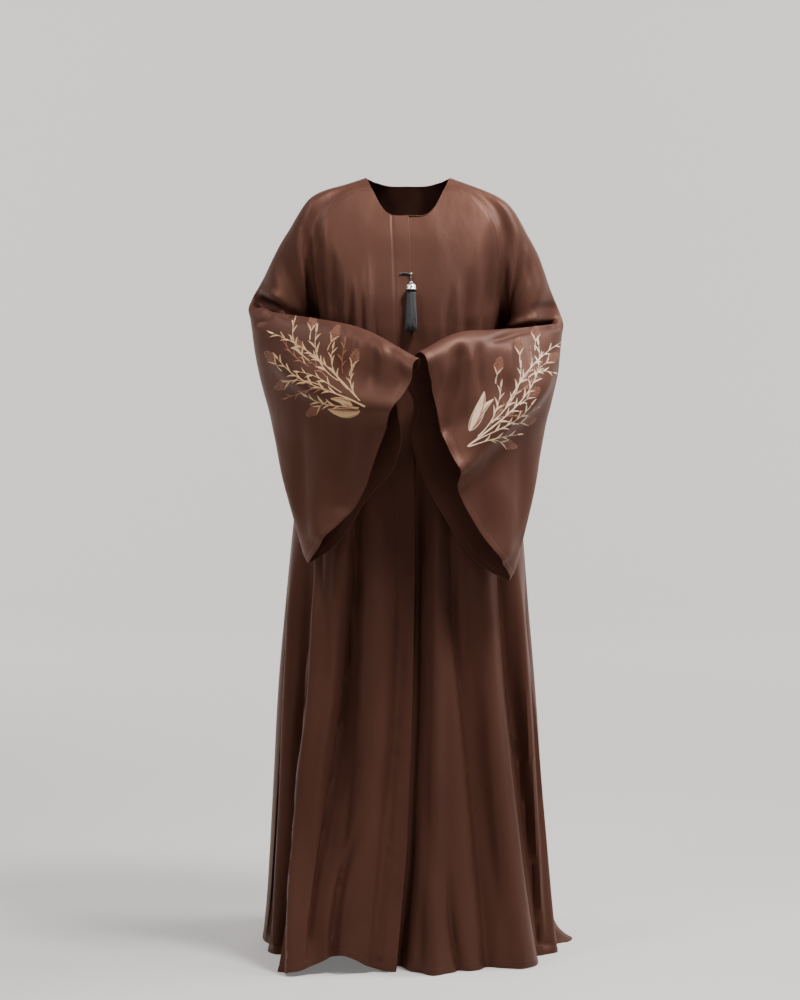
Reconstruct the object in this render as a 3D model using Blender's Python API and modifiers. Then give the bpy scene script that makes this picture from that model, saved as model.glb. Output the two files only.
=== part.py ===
"""An open abaya with raglan bell sleeves, in the form it has when worn, with a tassel at the closure.

Metres, +Z up. The origin is at the neck, level with the shoulders. The front faces -Y, and the
wearer's right is at -X. Each panel is a wall of cloth between an outer and an inner grid of points.
"""

import math

import bmesh
import bpy
import numpy as np

# Driving dimensions
CLOTH = 0.0016
SEAM_GAP = 0.0003
LAP_GAP = 0.0004
FLOOR_Z = -1.46
LAP_STEPS = (0.010, 0.020, 0.031)
LAP_BLEND = (0.6, 0.2)
ROW_STEPS = 2
SLEEVE_STEPS = 3
FRONT_STEPS = (9, 9)
BACK_STEPS = (8, 8)
SLEEVE_COLUMNS = (3, 4, 3, 3, 4, 3)
LOW_LEVEL, HIGH_LEVEL = 0.40, 0.85

# Yoke rows from the neckline to the underarm: centre front, front seam, back seam, centre back
YOKE_COLUMNS = ("front_y", "front_z", "seam_x", "seam_y", "seam_z",
                "rear_x", "rear_y", "rear_z", "back_y", "back_z")
YOKE = (
    (-0.074, -0.066, 0.070, -0.040, -0.012, 0.066, 0.050, 0.007, 0.076, 0.000),
    (-0.092, -0.105, 0.112, -0.048, -0.022, 0.106, 0.064, -0.016, 0.095, -0.045),
    (-0.106, -0.145, 0.145, -0.066, -0.056, 0.138, 0.082, -0.050, 0.110, -0.095),
    (-0.119, -0.185, 0.163, -0.076, -0.098, 0.158, 0.088, -0.092, 0.118, -0.145),
    (-0.130, -0.225, 0.172, -0.070, -0.170, 0.170, 0.083, -0.165, 0.122, -0.195),
    (-0.137, -0.265, 0.176, -0.044, -0.245, 0.175, 0.058, -0.245, 0.126, -0.250),
    (-0.141, -0.300, 0.178, 0.000, -0.300, 0.178, 0.000, -0.300, 0.126, -0.300),
)
UNDERARM_ROW = len(YOKE) - 1
JOINED = UNDERARM_ROW * ROW_STEPS
UNDERARM_GAP = 0.0006

# Rows of the body below the underarm
SKIRT_COLUMNS = ("z", "right", "left", "front", "back")
SKIRT = (
    (-0.400, 0.188, 0.188, 0.146, 0.136),
    (-0.500, 0.203, 0.203, 0.152, 0.148),
    (-0.610, 0.216, 0.216, 0.160, 0.163),
    (-0.750, 0.232, 0.228, 0.172, 0.181),
    (-0.930, 0.247, 0.239, 0.190, 0.201),
    (-1.100, 0.256, 0.250, 0.210, 0.221),
    (-1.250, 0.264, 0.262, 0.230, 0.242),
    (-1.380, 0.272, 0.273, 0.252, 0.265),
    (FLOOR_Z, 0.280, 0.282, 0.254, 0.280),
)
MID_ACROSS, MID_OUT = 0.56, 0.91

# Lap edge of the right front: height and place across
LAP_EDGE = ((-0.066, 0.000), (-0.145, 0.004), (-0.300, 0.008), (-0.700, 0.012),
            (-1.000, 0.006), (-1.250, -0.004), (FLOOR_Z, -0.022))

# Sleeve rows: top line, bottom seam, the way the front layer faces, half widths low and high
SLEEVE_TABLE = ("top_x", "top_y", "top_z", "low_x", "low_y", "low_z", "facing",
                "front_low", "front_high", "rear_low", "rear_high", "front_reach", "rear_reach")
SLEEVE_TOPS_RIGHT = ((0.081, 0.012), (0.122, -0.002), (0.160, -0.013), (0.188, -0.029),
                     (0.208, -0.055), (0.226, -0.085))
SLEEVE_TOPS_LEFT = ((0.081, 0.012), (0.122, -0.004), (0.160, -0.019), (0.188, -0.036),
                    (0.208, -0.060), (0.227, -0.094))
YOKE_SWELL = ((0.006, 0.014), (0.008, 0.022), (0.012, 0.034), (0.016, 0.044),
              (0.024, 0.048), (0.046, 0.050))
SLEEVE_RIGHT = (
    (0.248, 0.012, -0.120, 0.178, 0.000, -0.300, 0, 0.062, 0.048, 0.062, 0.050, 0, 0),
    (0.278, 0.020, -0.180, 0.199, -0.014, -0.390, -8, 0.050, 0.056, 0.052, 0.042, 0, 0),
    (0.300, 0.016, -0.228, 0.212, -0.060, -0.505, -94, 0.040, 0.030, 0.020, 0.010, 0, 0),
    (0.262, -0.050, -0.246, 0.214, -0.100, -0.585, -118, 0.032, 0.044, 0.026, 0.034, 0, 0),
    (0.170, -0.145, -0.262, 0.206, -0.140, -0.655, -132, 0.022, 0.040, 0.026, 0.044, 0, 0),
    (0.080, -0.212, -0.284, 0.197, -0.168, -0.696, -136, 0.026, 0.040, 0.020, 0.036, 0, -0.010),
    (-0.018, -0.268, -0.338, 0.187, -0.188, -0.714, -138, 0.045, 0.018, 0.012, 0.018, -0.016, -0.040),
)
SLEEVE_LEFT = (
    (0.250, 0.012, -0.136, 0.178, 0.000, -0.300, 0, 0.060, 0.046, 0.060, 0.048, 0, 0),
    (0.272, 0.020, -0.196, 0.199, -0.014, -0.395, -8, 0.048, 0.050, 0.050, 0.040, 0, 0),
    (0.292, 0.016, -0.258, 0.213, -0.060, -0.520, -94, 0.038, 0.032, 0.020, 0.010, 0, 0),
    (0.256, -0.050, -0.272, 0.216, -0.100, -0.605, -118, 0.032, 0.044, 0.026, 0.034, 0, 0),
    (0.170, -0.145, -0.282, 0.209, -0.140, -0.680, -132, 0.022, 0.040, 0.028, 0.042, 0, 0),
    (0.090, -0.210, -0.290, 0.202, -0.168, -0.724, -136, 0.030, 0.044, 0.024, 0.034, 0, -0.010),
    (0.023, -0.255, -0.326, 0.190, -0.186, -0.744, -138, 0.060, 0.060, 0.016, 0.016, -0.030, -0.030),
)

# Long folds of the skirt, by the way they face in degrees from the front, -X negative
FOLD_COLUMNS = ("top_angle", "hem_angle", "start_z", "depth", "width")
FOLDS = (
    (-60, -52, -0.62, -0.016, 8),
    (-46, -37, -0.60, 0.020, 9),
    (-27, -27, -0.58, -0.034, 7),
    (-12, -13, -0.60, 0.014, 12),
    (14, 12, -0.60, 0.018, 12),
    (27, 32, -0.66, -0.014, 10),
    (39, 44, -0.66, 0.016, 9),
    (46, 58, -0.64, -0.024, 6),
    (64, 70, -0.66, 0.020, 9),
    (84, 86, -0.60, -0.018, 9),
    (106, 106, -0.55, 0.016, 10),
    (124, 124, -0.50, -0.020, 9),
    (141, 142, -0.45, 0.020, 10),
    (159, 160, -0.42, -0.020, 9),
    (178, 178, -0.40, 0.022, 10),
    (-162, -162, -0.42, -0.020, 9),
    (-144, -143, -0.45, 0.020, 10),
    (-125, -125, -0.50, -0.020, 9),
    (-107, -106, -0.55, 0.012, 10),
    (-84, -80, -0.60, -0.018, 9),
)
FOLD_DEEPEST = 0.55

# Corners of the hem that spread on the floor: direction, reach, width in degrees, height
CORNER_COLUMNS = ("angle", "reach", "width", "height")
CORNERS = (
    (-33, 0.085, 12, 0.80),
    (44, 0.030, 15, 0.75),
    (93, 0.045, 9, 0.05),
    (-72, 0.010, 10, 0.30),
    (150, 0.020, 20, 0.40),
    (-150, 0.020, 20, 0.40),
)
HEM_LIFT, HEM_LIFT_ANGLE, HEM_LIFT_WIDTH, HEM_LIFT_HEIGHT = 0.034, -22, 8, 0.25

# Tassel
TASSEL_TOP_Z = -0.178
TOGGLE_LENGTH, TOGGLE_RADIUS = 0.017, 0.0018
BEAD_RADIUS = 0.0030
CORD_RADIUS = 0.0010
CORD_LENGTH = 0.0150
CAP_HEIGHT, CAP_RADIUS, CAP_WALL = 0.0175, 0.0105, 0.0011
STRAND_LENGTH, STRAND_RINGS = 0.080, 3
HEAD_HEIGHT, HEAD_RADIUS = 0.0035, 0.0077
STRAND_FLARE = 1.50
SEAT_GAP = 0.0004
TASSEL_CLEARANCE = 0.0030

MATERIALS = {
    "cloth": ((0.075, 0.034, 0.022), 0.38, 0.0),
    "black_cord": ((0.012, 0.012, 0.013), 0.60, 0.0),
    "silver": ((0.62, 0.61, 0.58), 0.30, 1.0),
}


def clear_scene():
    for old in list(bpy.data.objects):
        bpy.data.objects.remove(old, do_unlink=True)


def make_collection(name):
    collection = bpy.data.collections.new(name)
    bpy.context.scene.collection.children.link(collection)
    return collection


def make_material(name):
    colour, roughness, metallic = MATERIALS[name]
    material = bpy.data.materials.new(name)
    material.use_nodes = True
    shader = material.node_tree.nodes["Principled BSDF"]
    shader.inputs["Base Color"].default_value = (*colour, 1.0)
    shader.inputs["Roughness"].default_value = roughness
    shader.inputs["Metallic"].default_value = metallic
    return material


def unit(vector):
    return vector / max(np.linalg.norm(vector), 1e-12)


def smooth(value):
    value = min(max(value, 0.0), 1.0)
    return value * value * (3.0 - 2.0 * value)


def fill_rows(rows, steps):
    """Rows between the rows of a table, on smooth curves through each of its points."""
    rows = np.asarray(rows, float)
    filled = []
    for k in range(len(rows) - 1):
        before = rows[max(k - 1, 0)]
        after = rows[min(k + 2, len(rows) - 1)]
        start_slope = (rows[k + 1] - before) * (0.5 if k else 1.0)
        end_slope = (after - rows[k]) * (0.5 if k + 2 < len(rows) else 1.0)
        for i in range(steps):
            t = i / steps
            filled.append(hermite(rows[k], rows[k + 1], start_slope, end_slope, t))
    filled.append(rows[-1])
    return np.array(filled)


def hermite(start, end, start_slope, end_slope, t):
    return ((2 * t ** 3 - 3 * t ** 2 + 1) * start + (t ** 3 - 2 * t ** 2 + t) * start_slope
            + (3 * t ** 2 - 2 * t ** 3) * end + (t ** 3 - t ** 2) * end_slope)


def span(start, end, start_way, end_way, places):
    """Points of a smooth stretch of cloth that leaves start and reaches end along two unit vectors."""
    reach = np.linalg.norm(end - start)
    return [hermite(start, end, start_way * reach, end_way * reach, t) for t in places]


def even(count):
    return [i / count for i in range(count + 1)]


def between(low, high, share):
    return low + (high - low) * share


def body_rows():
    """Six guide points of each row of the body, for x to the wearer's right, then to the left."""
    rows = []
    for front_y, front_z, sx, sy, sz, rx, ry, rz, back_y, back_z in YOKE:
        half = []
        for side in (-1, 1):
            front = np.array((0.0, front_y, front_z))
            seam = np.array((side * sx, sy, sz))
            rear = np.array((side * rx, ry, rz))
            back = np.array((0.0, back_y, back_z))
            half.append((front, middle(seam, front), seam, rear, middle(rear, back), back))
        rows.append(half)
    for z, right, left, front_depth, back_depth in SKIRT:
        half = []
        for side, width in ((-1, right), (1, left)):
            front = np.array((0.0, -front_depth, z))
            seam = np.array((side * width, 0.0, z))
            back = np.array((0.0, back_depth, z))
            half.append((front, middle(seam, front), seam, seam, middle(seam, back), back))
        rows.append(half)
    filled = fill_rows(rows, ROW_STEPS)
    for halves in filled[JOINED:]:
        for half in halves:
            half[2] = half[3] = (half[2] + half[3]) * 0.5
    return filled


def middle(seam, centre):
    """Guide point between a seam and the centre line, where the row rounds over."""
    point = seam + (centre - seam) * MID_OUT
    point[0] = seam[0] * MID_ACROSS
    return point


def sleeve_rows(side):
    """Seven guide points of each row of a sleeve, from the front seam over the top to the back seam."""
    tops = SLEEVE_TOPS_RIGHT if side < 0 else SLEEVE_TOPS_LEFT
    lower = SLEEVE_RIGHT if side < 0 else SLEEVE_LEFT
    rows = []
    for (top_x, top_z), (low_swell, high_swell), yoke in zip(tops, YOKE_SWELL, YOKE):
        top = np.array((side * top_x, 0.008, top_z))
        seam = np.array((side * yoke[2], yoke[3], yoke[4]))
        rear = np.array((side * yoke[5], yoke[6], yoke[7]))
        rows.append(section(top, seam, rear, 0.0, side, (low_swell, high_swell) * 2, (0.0, 0.0)))
    for row in lower:
        top = np.array((side * row[0], row[1], row[2]))
        seam = np.array((side * row[3], row[4], row[5]))
        rows.append(section(top, seam, seam, row[6], side, row[7:11], row[11:13]))
    return rows


def section(top, seam, rear, facing, side, widths, reaches):
    turn = math.radians(facing)
    out = np.array((side * math.sin(turn), -math.cos(turn), 0.0))
    along = np.array((-side * math.cos(turn), -math.sin(turn), 0.0))
    front_low, front_high, rear_low, rear_high = widths
    return (
        seam,
        between(seam, top, LOW_LEVEL) + out * front_low + along * reaches[0],
        between(seam, top, HIGH_LEVEL) + out * front_high,
        top,
        between(rear, top, HIGH_LEVEL) - out * rear_high,
        between(rear, top, LOW_LEVEL) - out * rear_low + along * reaches[1],
        rear,
    )


def filled_sleeve(side, body):
    """Sleeve rows at the body's spacing down to the underarm, and at their own below it."""
    rows = sleeve_rows(side)
    upper = fill_rows(rows, ROW_STEPS)[:JOINED]
    lower = fill_rows(rows, SLEEVE_STEPS)[UNDERARM_ROW * SLEEVE_STEPS:]
    for k, points in enumerate(upper):
        half = body[k][0 if side < 0 else 1]
        points[0], points[6] = half[2], half[3]
    lower[0][0][0] += side * UNDERARM_GAP
    lower[0][6][0] += side * UNDERARM_GAP
    return np.concatenate([upper, lower])


def lap_edge_x(z):
    heights = [-row[0] for row in LAP_EDGE]
    return float(np.interp(-z, heights, [row[1] for row in LAP_EDGE]))


def openness(row):
    """0 where the seam's rows run on over the sleeve, 1 where body and sleeve have parted."""
    return smooth((row / ROW_STEPS - (UNDERARM_ROW - 2)) / 2.0)


def body_grids(guides, sleeves):
    """The whole front and the whole back as grids, rows from the neck down."""
    front_rows, back_rows = [], []
    for k, (right, left) in enumerate(guides):
        front_halves, back_halves = [], []
        for side, half in ((0, right), (1, left)):
            other = (right, left)[1 - side]
            front, front_mid, seam, rear, back_mid, back = half
            seam_way = unit(back_mid - front_mid)
            rear_way = seam_way
            if k < JOINED:
                sleeve = sleeves[side][k]
                parted = openness(k)
                seam_way = unit(between(unit(sleeve[1] - front_mid), seam_way, parted))
                rear_way = unit(between(unit(back_mid - sleeve[5]), rear_way, parted))
            centre_way = unit(front_mid - other[1])
            mid_way = unit(seam - front)
            length = np.linalg.norm(front_mid - front)
            lap = [step / length for step in LAP_STEPS] if side == 0 else []
            rest = FRONT_STEPS[0] - len(lap)
            first = lap[-1] if lap else 0.0
            places = [0.0] + lap[:-1] if lap else []
            places += [first + (1.0 - first) * i / rest for i in range(rest + 1)]
            points = span(front, front_mid, centre_way, mid_way, places)
            points += span(front_mid, seam, mid_way, seam_way, even(FRONT_STEPS[1]))[1:]
            front_halves.append(points)
            back_way = unit(back - rear)
            end_way = unit(other[4] - back_mid)
            points = span(rear, back_mid, rear_way, back_way, even(BACK_STEPS[0]))
            points += span(back_mid, back, back_way, end_way, even(BACK_STEPS[1]))[1:]
            back_halves.append(points)
        front_rows.append(front_halves[0][::-1] + front_halves[1][1:])
        back_rows.append(back_halves[1] + back_halves[0][::-1][1:])
    front_grid, back_grid = np.array(front_rows), np.array(back_rows)
    shift_lap(front_grid)
    return front_grid, back_grid


def shift_lap(front_grid):
    """Moves the middle of the front across, so that its columns follow the lap edge."""
    centre = sum(FRONT_STEPS)
    for row in front_grid:
        shift = lap_edge_x(row[centre][2])
        reach = 0.6 * (row[-1][0] - row[0][0]) * 0.5
        for point in row:
            point[0] += shift * smooth(1.0 - abs(point[0]) / reach)


def sleeve_grid(rows, body, side):
    """A sleeve as a grid: a strip over the shoulder, then a closed tube."""
    grid = []
    for k, points in enumerate(rows):
        ways = [None] * 7
        for i in range(1, 6):
            ways[i] = unit(points[i + 1] - points[i - 1])
        across = unit(points[1] - points[5])
        ways[0] = unit(across + unit(points[1] - points[0]))
        ways[6] = unit(across + unit(points[6] - points[5]))
        if k < JOINED:
            half = body[k][side]
            parted = openness(k)
            ways[0] = unit(between(unit(points[1] - half[1]), ways[0], parted))
            ways[6] = unit(between(unit(half[4] - points[5]), ways[6], parted))
        row = [points[0]]
        for i, count in enumerate(SLEEVE_COLUMNS):
            row += span(points[i], points[i + 1], ways[i], ways[i + 1], even(count))[1:]
        grid.append(row)
    grid = np.array(grid)
    return grid[:, ::-1] if side == 0 else grid


def angle_between(first, second):
    return abs((first - second + 180.0) % 360.0 - 180.0)


def facing(point, width, front, back):
    """The way a point of the body faces, in degrees from the front, as on an ellipse."""
    depth = front if point[1] < 0.0 else back
    return math.degrees(math.atan2(point[0] / width, -point[1] / depth))


def fold_out(angle, z):
    """How far the skirt's folds and the hem's corners move a point of the body out."""
    out = 0.0
    for top_angle, hem_angle, start_z, depth, width in FOLDS:
        if z < start_z:
            share = (start_z - z) / (start_z - FLOOR_Z)
            off = angle_between(angle, between(top_angle, hem_angle, share)) / width
            out += depth * smooth(share / FOLD_DEEPEST) * math.exp(-off * off)
    for centre, reach, width, height in CORNERS:
        rise = (z - FLOOR_Z) / height
        if rise < 1.0:
            off = angle_between(angle, centre) / width
            out += reach * (1.0 - rise) ** 2 * math.exp(-off * off)
    return out


def drape(front_grid, back_grid):
    """Folds the rows below the underarm and lifts the hem where a foot stands under it."""
    for front_row, back_row in zip(front_grid, back_grid):
        width = (front_row[-1][0] - front_row[0][0]) * 0.5
        sizes = (width, -front_row[:, 1].min(), back_row[:, 1].max())
        for point in (*front_row, *back_row):
            angle = facing(point, *sizes)
            away = unit(np.array((point[0], point[1], 0.0)))
            share = 1.0 - (point[2] - FLOOR_Z) / HEM_LIFT_HEIGHT
            point += away * fold_out(angle, point[2])
            if share > 0.0:
                off = angle_between(angle, HEM_LIFT_ANGLE) / HEM_LIFT_WIDTH
                point[2] += HEM_LIFT * share * math.exp(-off * off)


def vertex_sums(grid):
    """Sum of the normals of the faces round each point of a grid, by its row and column."""
    sums = np.zeros_like(grid)
    across = grid[:, 1:] - grid[:, :-1]
    down = grid[1:, :] - grid[:-1, :]
    normals = np.cross(down[:, :-1], across[:-1]) + np.cross(down[:, 1:], across[1:])
    sums[:-1, :-1] += normals
    sums[1:, :-1] += normals
    sums[:-1, 1:] += normals
    sums[1:, 1:] += normals
    return sums


def normalised(sums):
    return sums / np.maximum(np.linalg.norm(sums, axis=2, keepdims=True), 1e-12)


def share(first, first_column, second, second_column, rows):
    total = first[rows, first_column] + second[rows, second_column]
    first[rows, first_column] = total
    second[rows, second_column] = total


def shared_normals(front, back, right_sleeve, left_sleeve):
    """Normals of the four grids, where the panels on both sides of a seam share theirs."""
    sums = [vertex_sums(grid) for grid in (front, back, right_sleeve, left_sleeve)]
    upper, lower = slice(0, JOINED), slice(JOINED, None)
    share(sums[0], -1, sums[3], 0, upper)
    share(sums[3], -1, sums[1], 0, upper)
    share(sums[1], -1, sums[2], 0, upper)
    share(sums[2], -1, sums[0], 0, upper)
    share(sums[0], -1, sums[1], 0, lower)
    share(sums[1], -1, sums[0], 0, lower)
    share(sums[2], 0, sums[2], -1, lower)
    share(sums[3], 0, sums[3], -1, lower)
    return [normalised(total) for total in sums]


def pull_in(grid, last_row):
    """Half a seam's gap between both edges of a panel and its seams."""
    for k in range(last_row):
        grid[k, 0] += unit(grid[k, 1] - grid[k, 0]) * SEAM_GAP * 0.5
        grid[k, -1] += unit(grid[k, -2] - grid[k, -1]) * SEAM_GAP * 0.5


def split(outer, corners):
    """The two triangles of a square of the grid, the same on both layers, across its shorter diagonal."""
    a, b, c, d = corners
    if np.linalg.norm(outer[a] - outer[c]) <= np.linalg.norm(outer[b] - outer[d]):
        return (a, b, c), (a, c, d)
    return (a, b, d), (b, c, d)


def wall_object(name, outer, normals, closed_from, collection, material):
    """A panel as one closed wall, whose rows are tubes from closed_from on."""
    rows, columns = outer.shape[:2]
    layers = (outer, outer - normals * CLOTH)
    points, faces = [], []
    index = np.zeros((2, rows, columns), int)
    for layer, grid in enumerate(layers):
        for k in range(rows):
            for i in range(columns):
                index[layer, k, i] = len(points)
                if i == columns - 1 and k >= closed_from:
                    index[layer, k, i] = index[layer, k, 0]
                else:
                    points.append(tuple(grid[k, i]))
    for k in range(rows - 1):
        for i in range(columns - 1):
            corners = ((k, i), (k + 1, i), (k + 1, i + 1), (k, i + 1))
            for trio in split(outer, corners):
                faces.append([index[0, row, column] for row, column in trio])
                faces.append([index[1, row, column] for row, column in trio[::-1]])
    borders = [[(0, i) for i in range(columns)], [(rows - 1, i) for i in range(columns)]]
    last = min(rows - 1, closed_from)
    borders += [[(k, i) for k in range(last + 1)] for i in (0, columns - 1)]
    for border in borders:
        for first, second in zip(border, border[1:]):
            quad = [index[0][first], index[0][second], index[1][second], index[1][first]]
            faces.append(quad)
    faces = [[corner for n, corner in enumerate(face) if corner != face[n - 1]] for face in faces]
    mesh = bpy.data.meshes.new(name)
    mesh.from_pydata(points, [], faces)
    return finish_mesh(name, mesh, collection, material)


def finish_mesh(name, mesh, collection, material):
    """Turns the faces outward, shades them smooth and puts the mesh in the scene."""
    work = bmesh.new()
    work.from_mesh(mesh)
    bmesh.ops.recalc_face_normals(work, faces=work.faces)
    work.to_mesh(mesh)
    work.free()
    mesh.shade_smooth()
    mesh.set_sharp_from_angle(angle=math.radians(60))
    mesh.materials.append(material)
    built = bpy.data.objects.new(name, mesh)
    collection.objects.link(built)
    return built


def lapped(front, normals):
    """The left front: its edge columns lie behind the right front's lap."""
    centre = sum(FRONT_STEPS)
    first = centre - len(LAP_STEPS)
    grid, ways = front[:, first:].copy(), normals[:, first:]
    shares = [1.0] * (len(LAP_STEPS) + 1) + list(LAP_BLEND)
    for i, part in enumerate(shares):
        grid[:, i] -= ways[:, i] * (CLOTH + LAP_GAP) * part
    return grid, ways


def build_cloth(collection, material):
    """Makes the five panels and returns the outer points of the right front."""
    guides = body_rows()
    front, back = body_grids(guides, [filled_sleeve(-1, guides), filled_sleeve(1, guides)])
    right_sleeve = sleeve_grid(filled_sleeve(-1, guides), guides, 0)
    left_sleeve = sleeve_grid(filled_sleeve(1, guides), guides, 1)
    drape(front, back)
    normals = shared_normals(front, back, right_sleeve, left_sleeve)
    for grid, last_row in ((front, len(front)), (back, len(back)),
                           (right_sleeve, JOINED), (left_sleeve, JOINED)):
        pull_in(grid, last_row)
    centre = sum(FRONT_STEPS)
    left_front, left_normals = lapped(front, normals[0])
    open_rows = len(front)
    wall_object("front_right", front[:, :centre + 1], normals[0][:, :centre + 1],
                open_rows, collection, material)
    wall_object("front_left", left_front, left_normals, open_rows, collection, material)
    wall_object("back", back, normals[1], open_rows, collection, material)
    wall_object("sleeve_right", right_sleeve, normals[2], JOINED, collection, material)
    wall_object("sleeve_left", left_sleeve, normals[3], JOINED, collection, material)
    return front[:, :centre + 1]


def tube(name, points, radius, collection, material):
    """A cord along the given points, with filled ends."""
    curve = bpy.data.curves.new(name, "CURVE")
    curve.dimensions = "3D"
    curve.bevel_depth = radius
    curve.bevel_resolution = 1
    curve.use_fill_caps = True
    spline = curve.splines.new("POLY")
    spline.points.add(len(points) - 1)
    for target, point in zip(spline.points, points):
        target.co = (*point, 1.0)
    curve.materials.append(material)
    built = bpy.data.objects.new(name, curve)
    collection.objects.link(built)
    return built


def turned(name, profile, steps, collection, material):
    """A shape turned about its own Z axis, from a profile that runs down its outer side."""
    mesh = bpy.data.meshes.new(name)
    points = [(radius, 0.0, height) for radius, height in profile]
    mesh.from_pydata(points, [(i, i + 1) for i in range(len(points) - 1)], [])
    mesh.materials.append(material)
    built = bpy.data.objects.new(name, mesh)
    collection.objects.link(built)
    screw = built.modifiers.new("turn", "SCREW")
    screw.steps = steps
    screw.render_steps = steps
    screw.use_merge_vertices = True
    screw.merge_threshold = 0.00001
    screw.use_smooth_shade = True
    return built


def strand_faces(work, radius):
    """A hexagon of triangles at z = 0, one for each strand."""
    corners = {}
    step = radius / STRAND_RINGS
    for a in range(-STRAND_RINGS, STRAND_RINGS + 1):
        for b in range(-STRAND_RINGS, STRAND_RINGS + 1):
            if abs(a + b) <= STRAND_RINGS:
                x, y = step * (a + b * 0.5), step * b * math.sqrt(0.75)
                corners[a, b] = work.verts.new((x, y, 0.0))
    faces = []
    for a, b in corners:
        for trio in (((a, b), (a, b + 1), (a + 1, b)), ((a + 1, b), (a, b + 1), (a + 1, b + 1))):
            if all(key in corners for key in trio):
                faces.append(work.faces.new([corners[key] for key in trio]))
    return faces


def build_strands(collection, material):
    """The strands stand apart below a flat head that holds their roots."""
    work = bmesh.new()
    faces = strand_faces(work, HEAD_RADIUS)
    rim = [edge for edge in work.edges if edge.is_boundary]
    walls = bmesh.ops.extrude_edge_only(work, edges=rim)["geom"]
    top = [item for item in walls if isinstance(item, bmesh.types.BMVert)]
    bmesh.ops.translate(work, verts=top, vec=(0.0, 0.0, HEAD_HEIGHT))
    top_edges = [edge for edge in work.edges if edge.is_boundary]
    bmesh.ops.contextual_create(work, geom=top_edges)
    bmesh.ops.inset_individual(work, faces=faces, thickness=HEAD_RADIUS * 0.035)
    flare = STRAND_FLARE ** 0.5
    for part in range(2):
        faces = bmesh.ops.extrude_discrete_faces(work, faces=faces)["faces"]
        for n, face in enumerate(faces):
            uneven = 0.0025 * math.sin(n * 2.4) if part else 0.0
            for corner in face.verts:
                corner.co.x *= flare
                corner.co.y *= flare
                corner.co.z -= STRAND_LENGTH * 0.5 + uneven
    mesh = bpy.data.meshes.new("tassel_strands")
    work.to_mesh(mesh)
    work.free()
    return finish_mesh("tassel_strands", mesh, collection, material)


def before_front(front, across, z, off):
    """The point that lies off in front of the right front, across from its lap edge at height z."""
    x = float(np.interp(-z, -front[:, -1, 2], front[:, -1, 0])) + across
    heights = [-np.interp(x, row[:, 0], row[:, 2]) for row in front]
    depths = [np.interp(x, row[:, 0], row[:, 1]) for row in front]
    return np.array((x, float(np.interp(-z, heights, depths)) - off, z))


def build_tassel(front, collection):
    """Toggle, bead, cord, cap and strands, which rest along the slope of the front."""
    black, silver = make_material("black_cord"), make_material("silver")
    bottom_z = TASSEL_TOP_Z - CORD_LENGTH - CAP_HEIGHT - STRAND_LENGTH
    bead_at = before_front(front, 0.0, TASSEL_TOP_Z, BEAD_RADIUS + SEAT_GAP)
    low = before_front(front, 0.0, bottom_z, HEAD_RADIUS * STRAND_FLARE + TASSEL_CLEARANCE)
    cap_top = before_front(front, 0.0, TASSEL_TOP_Z - CORD_LENGTH, CAP_RADIUS + TASSEL_CLEARANCE)
    down = unit(low - cap_top)
    tilt = math.atan2(down[1], -down[2])

    bpy.ops.mesh.primitive_uv_sphere_add(segments=16, ring_count=10, radius=BEAD_RADIUS,
                                         location=tuple(bead_at))
    bead = bpy.context.object
    bead.name = "tassel_bead"
    bead.data.materials.append(silver)
    bead.data.shade_smooth()
    for owner in list(bead.users_collection):
        owner.objects.unlink(bead)
    collection.objects.link(bead)

    gap = SEAM_GAP + BEAD_RADIUS
    bend = np.array((0.0, -0.25, -1.0)) / math.hypot(0.25, 1.0)
    cord_start = bead_at + bend * gap
    cord_end = cap_top - down * SEAM_GAP
    way = np.linalg.norm(cord_end - cord_start)
    points = [hermite(cord_start, cord_end, bend * way, down * way, t) for t in even(5)]
    tube("tassel_cord", points, CORD_RADIUS, collection, black)

    points = []
    for t in even(6):
        height = TASSEL_TOP_Z + 0.0015 * math.sin(math.pi * t)
        across = -gap - TOGGLE_LENGTH * t
        points.append(before_front(front, across, height, TOGGLE_RADIUS + SEAT_GAP))
    tube("tassel_toggle", points, TOGGLE_RADIUS, collection, black)

    h, r, w = CAP_HEIGHT, CAP_RADIUS, CAP_WALL
    profile = ((0.0, 0.0), (0.22 * r, -0.01 * h), (0.30 * r, -0.10 * h), (0.42 * r, -0.20 * h),
               (0.72 * r, -0.38 * h), (0.88 * r, -0.60 * h), (0.96 * r, -0.85 * h), (r, -h),
               (r - w, -h), (0.96 * r - w, -0.85 * h), (0.88 * r - w, -0.62 * h),
               (0.0, -0.62 * h))
    cap = turned("tassel_cap", profile, 24, collection, silver)
    strands = build_strands(collection, black)
    for piece, drop in ((cap, 0.0), (strands, 0.62 * h + HEAD_HEIGHT + SEAM_GAP)):
        piece.location = tuple(cap_top + down * drop)
        piece.rotation_euler = (tilt, 0.0, 0.0)


def main():
    clear_scene()
    collection = make_collection("abaya")
    front = build_cloth(collection, make_material("cloth"))
    build_tassel(front, collection)


main()
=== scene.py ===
"""Looks for the abaya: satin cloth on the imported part's form, sewing, embroidery, tassel and studio."""

import math
import random

import bmesh
import bpy
import numpy as np
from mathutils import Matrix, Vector
from mathutils.bvhtree import BVHTree


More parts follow.
